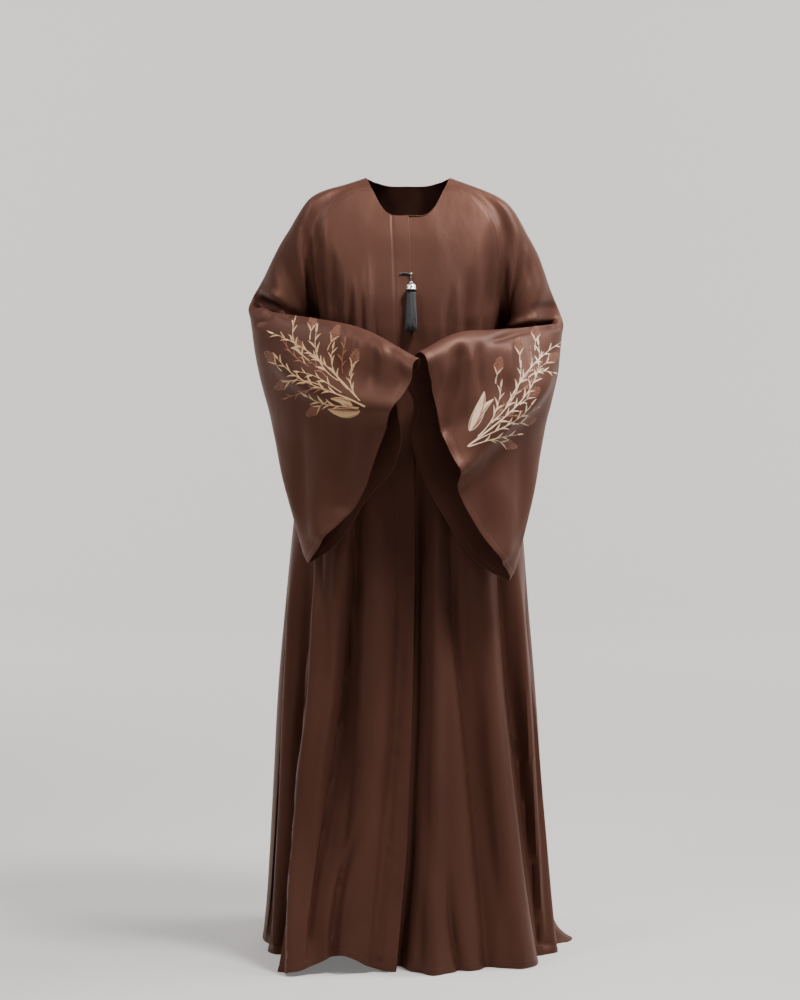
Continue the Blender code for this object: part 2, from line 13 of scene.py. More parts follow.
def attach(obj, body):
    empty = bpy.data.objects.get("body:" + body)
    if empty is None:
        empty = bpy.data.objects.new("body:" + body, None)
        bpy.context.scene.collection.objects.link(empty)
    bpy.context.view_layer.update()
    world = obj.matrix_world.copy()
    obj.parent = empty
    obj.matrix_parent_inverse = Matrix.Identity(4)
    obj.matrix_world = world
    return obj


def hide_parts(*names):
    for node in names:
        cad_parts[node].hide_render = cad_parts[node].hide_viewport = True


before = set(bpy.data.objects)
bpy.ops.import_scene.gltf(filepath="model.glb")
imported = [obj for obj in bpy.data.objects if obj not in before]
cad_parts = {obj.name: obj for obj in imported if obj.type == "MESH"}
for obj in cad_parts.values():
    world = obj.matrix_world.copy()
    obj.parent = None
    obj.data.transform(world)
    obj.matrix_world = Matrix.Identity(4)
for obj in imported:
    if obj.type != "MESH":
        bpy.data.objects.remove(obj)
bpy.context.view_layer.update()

# The panels' rows, columns and sizes are the part's own
CLOTH = 0.0016
LAP_GAP = 0.0004
FLOOR_Z = -1.46
LAP_STEPS = (0.01, 0.02, 0.031)
ROW_STEPS = 2
SLEEVE_STEPS = 3
FRONT_STEPS = (9, 9)
BACK_STEPS = (8, 8)
SLEEVE_COLUMNS = (3, 4, 3, 3, 4, 3)
LOW_LEVEL, HIGH_LEVEL = 0.4, 0.85

# Yoke rows: centre front y z, front seam x y z, back seam x y z, centre back y z
YOKE = (
    (-0.074, -0.066, 0.07, -0.04, -0.012, 0.066, 0.05, 0.007, 0.076, 0.0),
    (-0.092, -0.105, 0.112, -0.048, -0.022, 0.106, 0.064, -0.016, 0.095, -0.045),
    (-0.106, -0.145, 0.145, -0.066, -0.056, 0.138, 0.082, -0.05, 0.11, -0.095),
    (-0.119, -0.185, 0.163, -0.076, -0.098, 0.158, 0.088, -0.092, 0.118, -0.145),
    (-0.13, -0.225, 0.172, -0.07, -0.17, 0.17, 0.083, -0.165, 0.122, -0.195),
    (-0.137, -0.265, 0.176, -0.044, -0.245, 0.175, 0.058, -0.245, 0.126, -0.25),
    (-0.141, -0.3, 0.178, 0.0, -0.3, 0.178, 0.0, -0.3, 0.126, -0.3),
)
UNDERARM_ROW = len(YOKE) - 1
JOINED = UNDERARM_ROW * ROW_STEPS
UNDERARM_GAP = 0.0006

# Rows of the body below the underarm: height, half widths, depths
SKIRT = (
    (-0.4, 0.188, 0.188, 0.146, 0.136),
    (-0.5, 0.203, 0.203, 0.152, 0.148),
    (-0.61, 0.216, 0.216, 0.16, 0.163),
    (-0.75, 0.232, 0.228, 0.172, 0.181),
    (-0.93, 0.247, 0.239, 0.19, 0.201),
    (-1.1, 0.256, 0.25, 0.21, 0.221),
    (-1.25, 0.264, 0.262, 0.23, 0.242),
    (-1.38, 0.272, 0.273, 0.252, 0.265),
    (FLOOR_Z, 0.28, 0.282, 0.254, 0.28),
)
MID_ACROSS, MID_OUT = 0.56, 0.91

# Lap edge of the right front: height and place across
LAP_EDGE = ((-0.066, 0.0), (-0.145, 0.004), (-0.3, 0.008), (-0.7, 0.012),
            (-1.0, 0.006), (-1.25, -0.004), (FLOOR_Z, -0.022))

# Sleeve rows: top x z of the yoke rows, then top xyz, low xyz, facing, half widths, reaches
SLEEVE_TOPS_RIGHT = ((0.081, 0.012), (0.122, -0.002), (0.16, -0.013), (0.188, -0.029),
                     (0.208, -0.055), (0.226, -0.085))
SLEEVE_TOPS_LEFT = ((0.081, 0.012), (0.122, -0.004), (0.16, -0.019), (0.188, -0.036),
                    (0.208, -0.06), (0.227, -0.094))
SHOULDER_Y = 0.008
YOKE_SWELL = ((0.006, 0.014), (0.008, 0.022), (0.012, 0.034), (0.016, 0.044),
              (0.024, 0.048), (0.046, 0.05))
SLEEVE_RIGHT = (
    (0.248, 0.012, -0.12, 0.178, 0.0, -0.3, 0, 0.062, 0.048, 0.062, 0.05, 0, 0),
    (0.278, 0.02, -0.18, 0.199, -0.014, -0.39, -8, 0.05, 0.056, 0.052, 0.042, 0, 0),
    (0.3, 0.016, -0.228, 0.212, -0.06, -0.505, -94, 0.04, 0.03, 0.02, 0.01, 0, 0),
    (0.262, -0.05, -0.246, 0.214, -0.1, -0.585, -118, 0.032, 0.044, 0.026, 0.034, 0, 0),
    (0.17, -0.145, -0.262, 0.206, -0.14, -0.655, -132, 0.022, 0.04, 0.026, 0.044, 0, 0),
    (0.08, -0.212, -0.284, 0.197, -0.168, -0.696, -136, 0.026, 0.04, 0.02, 0.036, 0, -0.01),
    (-0.018, -0.268, -0.338, 0.187, -0.188, -0.714, -138, 0.045, 0.018, 0.012, 0.018, -0.016, -0.04),
)
SLEEVE_LEFT = (
    (0.25, 0.012, -0.136, 0.178, 0.0, -0.3, 0, 0.06, 0.046, 0.06, 0.048, 0, 0),
    (0.272, 0.02, -0.196, 0.199, -0.014, -0.395, -8, 0.048, 0.05, 0.05, 0.04, 0, 0),
    (0.292, 0.016, -0.258, 0.213, -0.06, -0.52, -94, 0.038, 0.032, 0.02, 0.01, 0, 0),
    (0.256, -0.05, -0.272, 0.216, -0.1, -0.605, -118, 0.032, 0.044, 0.026, 0.034, 0, 0),
    (0.17, -0.145, -0.282, 0.209, -0.14, -0.68, -132, 0.022, 0.04, 0.028, 0.042, 0, 0),
    (0.09, -0.21, -0.29, 0.202, -0.168, -0.724, -136, 0.03, 0.044, 0.024, 0.034, 0, -0.01),
    (0.023, -0.255, -0.326, 0.19, -0.186, -0.744, -138, 0.06, 0.06, 0.016, 0.016, -0.03, -0.03),
)

# Long folds of the skirt: top angle, hem angle, start height, depth, width in degrees
FOLDS = (
    (-60, -52, -0.62, -0.016, 8),
    (-46, -37, -0.6, 0.02, 9),
    (-27, -27, -0.58, -0.034, 7),
    (-12, -13, -0.6, 0.014, 12),
    (14, 12, -0.6, 0.018, 12),
    (27, 32, -0.66, -0.014, 10),
    (39, 44, -0.66, 0.016, 9),
    (46, 58, -0.64, -0.024, 6),
    (64, 70, -0.66, 0.02, 9),
    (84, 86, -0.6, -0.018, 9),
    (106, 106, -0.55, 0.016, 10),
    (124, 124, -0.5, -0.02, 9),
    (141, 142, -0.45, 0.02, 10),
    (159, 160, -0.42, -0.02, 9),
    (178, 178, -0.4, 0.022, 10),
    (-162, -162, -0.42, -0.02, 9),
    (-144, -143, -0.45, 0.02, 10),
    (-125, -125, -0.5, -0.02, 9),
    (-107, -106, -0.55, 0.012, 10),
    (-84, -80, -0.6, -0.018, 9),
)
FOLD_DEEPEST = 0.55

# Corners of the hem that spread on the floor: direction, reach, width in degrees, height
CORNERS = (
    (-33, 0.085, 12, 0.8),
    (44, 0.03, 15, 0.75),
    (93, 0.045, 9, 0.05),
    (-72, 0.01, 10, 0.3),
    (150, 0.02, 20, 0.4),
    (-150, 0.02, 20, 0.4),
)
HEM_LIFT, HEM_LIFT_ANGLE, HEM_LIFT_WIDTH, HEM_LIFT_HEIGHT = 0.034, -22, 8, 0.25

# How much finer the cloth is here than in the part
BODY_ROW_FINE, SLEEVE_ROW_FINE = 10, 7
FRONT_FINE, BACK_FINE, SLEEVE_FINE = 6, 4, 8
JOINED_FINE = JOINED * BODY_ROW_FINE
CENTRE_FINE = sum(FRONT_STEPS) * FRONT_FINE

# The body's sides are drawn in by this much below the underarms, down to this height, from this far out
SIDE_PULL, SIDE_PULL_LOW, SIDE_PULL_FROM, SIDE_FADE, SIDE_FADE_LOW = 0.006, -0.5, 0.135, 0.03, 0.05

# Creases, as seen from the front: points x z along the crease, depth (a trough is negative), width,
# the share of its length over which each end fades, and the lean of its steeper side if it has one
CHEST_CREASES = (
    ((-0.201, -0.066, -0.192, -0.141, -0.186, -0.207, -0.177, -0.264, -0.166, -0.32), -0.0105, 0.0085, 0.4,
     0, 0.2),
    ((-0.184, -0.066, -0.179, -0.132, -0.169, -0.226, -0.16, -0.3), 0.0045, 0.007, 0.4, 0.2),
    ((-0.169, -0.132, -0.164, -0.226, -0.154, -0.32), -0.007, 0.007, 0.5, 0),
    ((-0.156, -0.048, -0.154, -0.151, -0.145, -0.264, -0.143, -0.32), 0.004, 0.009, 0.4, 0),
    ((-0.145, -0.113, -0.139, -0.226, -0.132, -0.32), -0.006, 0.007, 0.5, 0),
    ((-0.119, -0.16, -0.117, -0.33), 0.0045, 0.006, 0.6, 0),
    ((-0.109, -0.188, -0.106, -0.33), -0.005, 0.005, 0.6, 0),
    ((-0.098, -0.16, -0.094, -0.33), 0.0045, 0.006, 0.6, 0),
    ((-0.088, -0.198, -0.084, -0.33), -0.004, 0.005, 0.6, 0),
    ((-0.077, -0.113, -0.074, -0.33), 0.0035, 0.009, 0.5, 0),
    ((-0.064, -0.217, -0.06, -0.33), -0.0035, 0.006, 0.6, 0),
    ((-0.03, -0.15, -0.03, -0.34), 0.003, 0.018, 0.5, 0),
    ((0.217, -0.085, 0.21, -0.173, 0.193, -0.224, 0.176, -0.279, 0.161, -0.32), -0.011, 0.0095, 0.4, 0,
     -0.2),
    ((0.202, -0.104, 0.191, -0.198, 0.169, -0.292), 0.0045, 0.007, 0.4, 0.2),
    ((0.231, -0.132, 0.229, -0.207), -0.0035, 0.006, 0.5, 0.5),
    ((0.157, -0.113, 0.15, -0.226, 0.139, -0.32), -0.0065, 0.008, 0.5, 0),
    ((0.136, -0.09, 0.13, -0.21, 0.124, -0.32), 0.004, 0.009, 0.5, 0),
    ((0.116, -0.155, 0.11, -0.245, 0.105, -0.33), -0.005, 0.007, 0.5, 0),
    ((0.094, -0.17, 0.09, -0.33), 0.004, 0.007, 0.6, 0),
    ((0.08, -0.188, 0.076, -0.33), -0.0045, 0.006, 0.6, 0),
    ((0.06, -0.21, 0.058, -0.33), 0.003, 0.007, 0.6, 0),
)
SKIRT_CREASES = (
    ((-0.195, -0.56, -0.196, -0.8, -0.2, -0.938, -0.218, -1.111, -0.228, -1.25, -0.241, -1.46), -0.021,
     0.01, 0.3, 0, 0.3),
    ((-0.165, -0.64, -0.17, -0.786, -0.182, -1.012, -0.203, -1.162, -0.213, -1.356, -0.214, -1.47), 0.013,
     0.013, 0.3, 0),
    ((-0.098, -0.5, -0.106, -0.712, -0.118, -0.954, -0.13, -1.063, -0.153, -1.21, -0.169, -1.308, -0.184,
     -1.47), -0.02, 0.011, 0.2, 0.1, 0.55),
    ((-0.124, -0.6, -0.13, -0.712, -0.145, -0.954, -0.17, -1.149, -0.187, -1.292), 0.013, 0.012, 0.3, 0.3),
    ((-0.168, -0.6, -0.166, -0.72, -0.162, -0.86), -0.009, 0.008, 0.3, 0.5),
    ((-0.06, -0.56, -0.056, -0.712, -0.063, -1.077, -0.103, -1.292, -0.128, -1.47), 0.013, 0.022, 0.3, 0),
    ((-0.062, -1.13, -0.096, -1.22, -0.126, -1.3, -0.138, -1.38, -0.14, -1.47), -0.012, 0.01, 0.5, 0.1,
     0.4),
    ((-0.01, -0.64, -0.026, -1.059, -0.052, -1.327, -0.063, -1.47), -0.009, 0.012, 0.3, 0),
    ((0.057, -0.54, 0.056, -0.712, 0.052, -1.013, 0.047, -1.292), 0.015, 0.014, 0.3, 0.2),
    ((0.078, -0.54, 0.088, -0.8, 0.112, -1.012, 0.131, -1.21, 0.152, -1.47), -0.017, 0.013, 0.3, 0),
    ((0.104, -0.62, 0.118, -0.88, 0.142, -1.16, 0.17, -1.4), -0.008, 0.01, 0.4, 0.2),
    ((0.13, -0.6, 0.138, -0.712, 0.158, -1.041, 0.182, -1.256, 0.207, -1.47), 0.014, 0.018, 0.3, 0),
    ((0.166, -0.58, 0.176, -0.712, 0.193, -0.963, 0.212, -1.111, 0.231, -1.26, 0.252, -1.433), -0.018,
     0.0115, 0.2, 0, 0.35),
    ((0.196, -0.62, 0.206, -0.76, 0.22, -0.969, 0.24, -1.238, 0.263, -1.433), 0.009, 0.009, 0.3, 0),
    ((0.236, -0.7, 0.244, -0.96, 0.256, -1.2, 0.268, -1.44), -0.008, 0.008, 0.3, 0),
    ((-0.238, -0.66, -0.244, -0.9, -0.252, -1.15, -0.262, -1.44), -0.009, 0.009, 0.3, 0),
    ((-0.218, -0.62, -0.222, -0.86, -0.238, -1.14, -0.252, -1.44), 0.01, 0.01, 0.3, 0),
    ((0.047, -1.18, 0.045, -1.38, 0.048, -1.475), 0.023, 0.018, 0.8, 0),
    ((0.069, -1.24, 0.083, -1.389, 0.101, -1.475), -0.015, 0.01, 0.7, 0),
)
SLEEVE_CREASES_RIGHT = (
    ((-0.3, -0.214, -0.28, -0.225, -0.246, -0.242, -0.215, -0.257, -0.185, -0.264), -0.008, 0.008, 0.25,
     0.3, 0.2),
    ((-0.29, -0.275, -0.272, -0.262, -0.255, -0.25, -0.232, -0.246), -0.008, 0.006, 0.3, 0.4),
    ((-0.296, -0.236, -0.267, -0.246, -0.23, -0.262), 0.006, 0.008, 0.3, 0.4),
    ((-0.294, -0.2, -0.262, -0.214, -0.225, -0.232), 0.0055, 0.01, 0.4, 0.4),
    ((-0.028, -0.424, -0.08, -0.428, -0.117, -0.42, -0.163, -0.396, -0.219, -0.36, -0.27, -0.305), 0.019,
     0.03, 0, 0.4, -0.35),
    ((-0.069, -0.29, -0.071, -0.358, -0.082, -0.41), -0.004, 0.008, 0.3, 0.4),
    ((-0.05, -0.3, -0.05, -0.349, -0.06, -0.41), 0.0045, 0.008, 0.3, 0.4),
    ((-0.03, -0.312, -0.03, -0.368, -0.041, -0.41), -0.003, 0.007, 0.3, 0.4),
    ((-0.117, -0.27, -0.119, -0.321, -0.13, -0.373), 0.004, 0.01, 0.3, 0.4),
    ((-0.1, -0.28, -0.104, -0.332, -0.113, -0.386), -0.003, 0.007, 0.3, 0.4),
    ((-0.15, -0.46, -0.16, -0.56, -0.168, -0.68), 0.006, 0.02, 0.4, 0.1),
    ((-0.196, -0.4, -0.2, -0.52, -0.19, -0.68), -0.005, 0.014, 0.4, 0.1),
    ((-0.1, -0.44, -0.112, -0.52, -0.128, -0.6), -0.005, 0.016, 0.4, 0),
)
SLEEVE_CREASES_LEFT = (
    ((0.305, -0.276, 0.286, -0.273, 0.252, -0.273, 0.21, -0.284, 0.169, -0.299, 0.136, -0.312), -0.0095,
     0.008, 0.2, 0.3, -0.2),
    ((0.3, -0.258, 0.284, -0.26, 0.243, -0.262, 0.197, -0.275, 0.151, -0.297), 0.007, 0.009, 0.15, 0.4),
    ((0.3, -0.235, 0.262, -0.236, 0.222, -0.25), -0.004, 0.009, 0.4, 0.4),
    ((0.066, -0.545, 0.108, -0.523, 0.125, -0.499, 0.169, -0.458, 0.215, -0.417, 0.252, -0.368, 0.28,
     -0.315), 0.025, 0.032, 0, 0.3, 0.35),
    ((0.094, -0.3, 0.092, -0.395, 0.082, -0.488), -0.0085, 0.009, 0.2, 0.2),
    ((0.073, -0.315, 0.069, -0.395, 0.06, -0.469), 0.006, 0.008, 0.3, 0.2),
    ((0.114, -0.3, 0.112, -0.377, 0.107, -0.451), 0.006, 0.008, 0.3, 0.3),
    ((0.13, -0.3, 0.131, -0.358, 0.127, -0.414), -0.0045, 0.008, 0.3, 0.4),
    ((0.184, -0.29, 0.184, -0.349, 0.175, -0.404), 0.0055, 0.01, 0.3, 0.4),
    ((0.204, -0.29, 0.21, -0.344, 0.203, -0.395), -0.0045, 0.009, 0.3, 0.4),
    ((0.048, -0.335, 0.046, -0.386, 0.05, -0.44), -0.0045, 0.008, 0.3, 0.3),
    ((0.15, -0.52, 0.172, -0.6, 0.19, -0.71), 0.006, 0.018, 0.4, 0.1),
    ((0.205, -0.46, 0.212, -0.56, 0.204, -0.7), -0.005, 0.014, 0.4, 0.1),
)
BACK_CREASES = (
    ((-0.168, -0.09, -0.158, -0.18, -0.14, -0.27, -0.13, -0.42), -0.008, 0.01, 0.4, 0.4),
    ((-0.128, -0.07, -0.122, -0.16, -0.108, -0.28), 0.005, 0.012, 0.4, 0.4),
    ((-0.1, -0.12, -0.094, -0.24, -0.096, -0.4), -0.005, 0.01, 0.4, 0.3),
    ((0.166, -0.095, 0.156, -0.185, 0.138, -0.27, 0.132, -0.4), -0.008, 0.01, 0.4, 0.4),
    ((0.124, -0.08, 0.118, -0.17, 0.106, -0.26), 0.005, 0.012, 0.4, 0.4),
    ((0.09, -0.14, 0.084, -0.26, 0.09, -0.42), -0.005, 0.01, 0.4, 0.3),
    ((-0.05, -0.16, -0.05, -0.36, -0.056, -0.56), 0.0045, 0.014, 0.4, 0.4),
    ((-0.01, -0.2, -0.006, -0.42, -0.01, -0.62), -0.0045, 0.014, 0.4, 0.4),
    ((0.04, -0.18, 0.046, -0.36, 0.046, -0.56), 0.0045, 0.014, 0.4, 0.4),
    ((-0.15, -0.46, -0.156, -0.76, -0.176, -1.06, -0.196, -1.46), -0.013, 0.012, 0.4, 0),
    ((-0.11, -0.48, -0.116, -0.8, -0.13, -1.12, -0.14, -1.46), 0.009, 0.013, 0.4, 0),
    ((-0.072, -0.44, -0.078, -0.78, -0.09, -1.12, -0.092, -1.46), -0.011, 0.012, 0.4, 0),
    ((-0.03, -0.52, -0.03, -0.86, -0.04, -1.24, -0.042, -1.46), 0.008, 0.012, 0.4, 0),
    ((0.01, -0.48, 0.012, -0.82, 0.006, -1.16, 0.012, -1.46), -0.012, 0.012, 0.4, 0),
    ((0.052, -0.5, 0.058, -0.88, 0.064, -1.2, 0.07, -1.46), 0.009, 0.013, 0.4, 0),
    ((0.096, -0.46, 0.106, -0.82, 0.12, -1.16, 0.132, -1.46), -0.013, 0.012, 0.4, 0),
    ((0.14, -0.56, 0.156, -0.9, 0.176, -1.22, 0.188, -1.46), 0.009, 0.014, 0.4, 0),
    ((0.186, -0.6, 0.202, -0.9, 0.222, -1.2, 0.236, -1.46), -0.012, 0.011, 0.4, 0),
    ((-0.194, -0.6, -0.206, -0.9, -0.228, -1.2, -0.24, -1.46), 0.008, 0.012, 0.4, 0),
    ((-0.224, -0.64, -0.236, -0.9, -0.252, -1.2, -0.262, -1.46), -0.009, 0.01, 0.4, 0),
)
SLEEVE_BACK_CREASES = (
    ((0.27, -0.15, 0.262, -0.22, 0.27, -0.3), -0.005, 0.01, 0.4, 0.4),
    ((0.23, -0.12, 0.228, -0.22, 0.244, -0.34), -0.007, 0.01, 0.4, 0.4),
    ((0.25, -0.3, 0.236, -0.4, 0.232, -0.52), 0.005, 0.014, 0.4, 0.3),
    ((0.276, -0.28, 0.262, -0.38, 0.25, -0.47), -0.006, 0.01, 0.4, 0.3),
    ((0.205, -0.08, 0.206, -0.16, 0.196, -0.24), 0.0045, 0.01, 0.4, 0.4),
)

# How finely a crease's line is drawn and how far its sides reach in widths, the way the cloth has to face
# to show it, and how many rows below the underarm a sleeve still shares the chest's creases
CREASE_FINE, CREASE_REACH, CREASE_FACING, CREASE_FACING_FADE, CHEST_ROWS = 8, 3.0, 0.05, 0.25, 20

# Edges of the cuffs' front and rear layers, as seen from the front: x z from the top down
CUFF_RIGHT_FRONT = ((0.022, -0.338), (0.01, -0.366), (-0.012, -0.398), (-0.027, -0.42), (-0.04, -0.43),
                    (-0.0385, -0.44), (-0.04, -0.46), (-0.051, -0.488), (-0.063, -0.52), (-0.074, -0.555),
                    (-0.086, -0.585), (-0.106, -0.618), (-0.141, -0.645), (-0.163, -0.674), (-0.176, -0.712))
CUFF_RIGHT_REAR = ((0.02, -0.345), (-0.01, -0.39), (-0.03, -0.423), (-0.012, -0.46), (-0.008, -0.5),
                   (-0.026, -0.54), (-0.066, -0.577), (-0.088, -0.606), (-0.1, -0.633), (-0.138, -0.677),
                   (-0.16, -0.712))
CUFF_LEFT_FRONT = ((0.02, -0.326), (0.04, -0.36), (0.046, -0.402), (0.05, -0.44), (0.053, -0.484),
                   (0.061, -0.517), (0.079, -0.548), (0.09, -0.59), (0.112, -0.634), (0.14, -0.676),
                   (0.168, -0.706), (0.19, -0.728), (0.196, -0.744))
CUFF_LEFT_REAR = ((0.012, -0.33), (-0.014, -0.372), (0.004, -0.398), (0.016, -0.416), (0.012, -0.442),
                  (-0.01, -0.462), (-0.006, -0.49), (0.018, -0.527), (0.024, -0.546), (0.052, -0.598),
                  (0.084, -0.648), (0.112, -0.69), (0.15, -0.73), (0.176, -0.748))
CUFF_REACH, CUFF_MOST, CUFF_FADE, CUFF_LEAN, CUFF_EVEN = 0.075, 0.022, 0.03, 0.4, 4

# Where round a cuff its front layer ends, right and left, and over how much it blends with the rear one
CUFF_TURN_RIGHT, CUFF_TURN_LEFT, CUFF_BLEND = 0.54, 0.46, 0.08

# Sewing
SEAM_DIP, SEAM_DIP_WIDTH = 0.0006, 0.0024
HEM_WIDTH, HEM_DIP, HEM_DIP_WIDTH, HEM_FULL, HEM_ROUND = 0.012, 0.0004, 0.0016, 0.0005, 0.003
PLACKET_LINE, PLACKET_DIP, PLACKET_DIP_WIDTH = 0.031, 0.001, 0.0022
PUCKER_DEPTH, PUCKER_LENGTH, PUCKER_REACH, PUCKER_TOP, PUCKER_FADE = 0.0018, 0.034, 0.01, 0.86, 0.2
PUCKER_DRIFT, PUCKER_DRIFT_RATE, SWELL_LENGTH, SWELL_START = 2.6, 23.0, 0.19, 0.8

# How the left front lies back behind the lap: width of the lap, depths, width and middle of the hollow,
# and the heights below which it deepens, with the lengths over which it does
LAP_WIDTH, LAP_RECESS, LAP_RECESS_HEM, LAP_RECESS_WIDTH, LAP_RECESS_MIDDLE = 0.06, 0.019, 0.042, 0.013, 0.4
LAP_LOW, LAP_LOW_LENGTH, LAP_LOWEST, LAP_LOWEST_LENGTH = -0.45, 0.25, -1.18, 0.28

# Stitches
STITCH_LENGTH, STITCH_PITCH, STITCH_RADIUS, STITCH_LIFT = 0.0026, 0.0034, 0.00022, 0.00026

# Rolled edges of the cloth
ROLL_RADIUS, ROLL_SIDES = 0.00105, 6

# Embroidered sprays, as seen from the front. Stems: start x z, end x z, the way they leave and end in
# degrees, thickness, first leaf's place along it, leaf length. Heads: x z and way. Broad leaves:
# start x z, end x z, half width, bow
SPRAY_RIGHT = {
    "stems": ((-0.079, -0.426, -0.241, -0.338, 150, 128, 0.0026, 0.3, 0.023),
              (-0.094, -0.409, -0.25, -0.29, 132, 158, 0.0023, 0.4, 0.022),
              (-0.128, -0.378, -0.17, -0.29, 150, 78, 0.0016, 0.26, 0.024),
              (-0.11, -0.394, -0.139, -0.322, 138, 74, 0.0016, 0.34, 0.021),
              (-0.088, -0.415, -0.101, -0.356, 138, 66, 0.0014, 0.34, 0.018),
              (-0.182, -0.341, -0.213, -0.27, 146, 76, 0.0014, 0.3, 0.019),
              (-0.09, -0.428, -0.184, -0.408, 172, 148, 0.0017, 0.22, 0.022),
              (-0.158, -0.388, -0.222, -0.378, 156, 186, 0.0013, 0.34, 0.017),
              (-0.122, -0.4, -0.2, -0.362, 148, 172, 0.0014, 0.28, 0.018)),
    "twigs": ((-0.14, -0.396, -0.222, -0.408, 160, 196, 0.0014, 0.2, 0.017),
              (-0.12, -0.366, -0.116, -0.308, 100, 82, 0.0014, 0.2, 0.016),
              (-0.182, -0.352, -0.232, -0.304, 150, 118, 0.0014, 0.24, 0.016),
              (-0.15, -0.372, -0.192, -0.338, 130, 160, 0.0014, 0.2, 0.015)),
    "heads": ((-0.134, -0.29, 66), (-0.203, -0.314, 112), (-0.098, -0.335, 74), (-0.236, -0.386, 200),
              (-0.176, -0.434, 214), (-0.258, -0.334, 132), (-0.178, -0.268, 84)),
    "broad": ((-0.088, -0.434, -0.147, -0.43, 0.008, 0.16), (-0.102, -0.424, -0.142, -0.411, 0.0042, -0.14)),
}
SPRAY_LEFT = {
    "stems": ((0.107, -0.498, 0.244, -0.312, 38, 96, 0.0027, 0.3, 0.023),
              (0.178, -0.428, 0.287, -0.306, 62, 30, 0.0021, 0.24, 0.021),
              (0.126, -0.48, 0.17, -0.392, 40, 82, 0.0017, 0.34, 0.022),
              (0.151, -0.456, 0.208, -0.356, 42, 88, 0.0017, 0.36, 0.021),
              (0.118, -0.49, 0.226, -0.424, 30, 52, 0.0016, 0.34, 0.021),
              (0.11, -0.498, 0.2, -0.478, 18, 4, 0.0017, 0.3, 0.019),
              (0.222, -0.372, 0.27, -0.362, 44, -14, 0.0014, 0.34, 0.017)),
    "twigs": ((0.148, -0.462, 0.196, -0.404, 60, 40, 0.0014, 0.2, 0.017),
              (0.2, -0.4, 0.246, -0.35, 30, 70, 0.0014, 0.2, 0.016),
              (0.214, -0.376, 0.228, -0.322, 60, 100, 0.0014, 0.24, 0.015),
              (0.16, -0.446, 0.238, -0.43, 10, 30, 0.0014, 0.24, 0.016)),
    "heads": ((0.166, -0.349, 80), (0.206, -0.312, 92), (0.272, -0.334, 36), (0.224, -0.452, 12),
              (0.186, -0.496, -18), (0.232, -0.4, 40), (0.24, -0.286, 84)),
    "broad": ((0.111, -0.47, 0.139, -0.398, 0.0088, -0.1), (0.123, -0.452, 0.156, -0.412, 0.0044, 0.14)),
}
THREAD_RADIUS, THREAD_PITCH, THREAD_LIFT, THREAD_SINK = 0.00034, 0.0006, 0.00055, 0.0001
STEM_STEP, STEM_PITCH, STEM_ROW, STEM_SLANT, STEM_TIP = 0.0022, 0.0027, 0.00062, 0.16, 0.0005
STEM_END, STEM_AHEAD = 0.001, 0.002
LEAF_FRONT, LEAF_ROUND, LEAF_SLANT, LEAF_WIDE, TIP_WIDE = 0.75, 0.85, 0.9, 0.08, 0.085
LEAF_SPACING, LEAF_SIZES, LEAF_ANGLES, LEAF_BOWS = (0.0095, 0.0145), (0.85, 1.15), (24, 40), (0.12, 0.24)
KNOT_RADIUS, KNOT_PITCH, KNOT_STRAY = 0.00105, 0.0024, 0.0003
HEAD_LONG, HEAD_WIDE, HEAD_TAPER, HEAD_FOOT, HEAD_STEM = 0.0165, 0.0088, 0.25, 0.003, 0.016

# Tassel: places of its pieces, in the part's frame, and its strands
TASSEL_LEAN = -0.201
CAP_TOP = (0.00524, -0.13485, -0.193)
CAP_PROFILE = ((0.0004, 0.0002), (0.003, 0.0), (0.0036, -0.0012), (0.0031, -0.002), (0.0044, -0.0032),
               (0.0066, -0.0052), (0.0082, -0.0074), (0.0092, -0.0098), (0.0098, -0.0124),
               (0.0101, -0.0148), (0.0107, -0.0154), (0.0107, -0.0168), (0.0104, -0.0174),
               (0.0094, -0.0174), (0.0091, -0.014), (0.0084, -0.0108), (0.0004, -0.0104))
CAP_PETALS, CAP_PETAL_DEPTH, CAP_PETAL_HEIGHT, CAP_PETAL_LENGTH = 8, 0.0006, -0.009, 0.0045
STRANDS_TOP = (0.00561, -0.13777, -0.20735)
STRAND_COUNT, STRAND_LENGTH, STRAND_RADIUS = 130, 0.0815, 0.00046
STRAND_ROOT, STRAND_SPREAD, STRAND_TURN, STRAND_WAVES = 0.0066, 0.0116, 2.39996, (0.0004, 0.0013)
HEAD_POINTS, HEAD_RADII = ((0, 0, 0.0033), (0, 0, 0.0), (0, 0, -0.004)), (0.0072, 0.0075, 0.0062)
CORD_POINTS = ((0.00485, -0.1206, -0.1809), (0.00491, -0.1244, -0.1851), (0.00499, -0.128, -0.1869),
               (0.00508, -0.1315, -0.1888), (0.00523, -0.1346, -0.1926))
TOGGLE_POINTS = ((0.0012, -0.119, -0.1779), (-0.0042, -0.1188, -0.1767), (-0.0083, -0.1187, -0.1765),
                 (-0.0126, -0.1188, -0.1772), (-0.0152, -0.119, -0.1779))
# Radius of a ply, plies, length of a turn, and how far the plies are from the middle
CORD_SIZES = (0.00056, 2, 0.0042, 0.0005)
TOGGLE_SIZES = (0.00095, 3, 0.0078, 0.00085)
PLAIT_POINTS, PLAIT_AHEAD = 60, 0.0006

# A direction that no cord or strand runs along, to turn the tubes' rings from
SKEW = (0.31, 0.94, 0.13)

# Studio floor: how far it is flat, the radius of its rise beyond that, and its gap below the hem
FLAT_RADIUS, CURVE_RADIUS, FLOOR_GAP = 7.0, 4.0, 0.0015

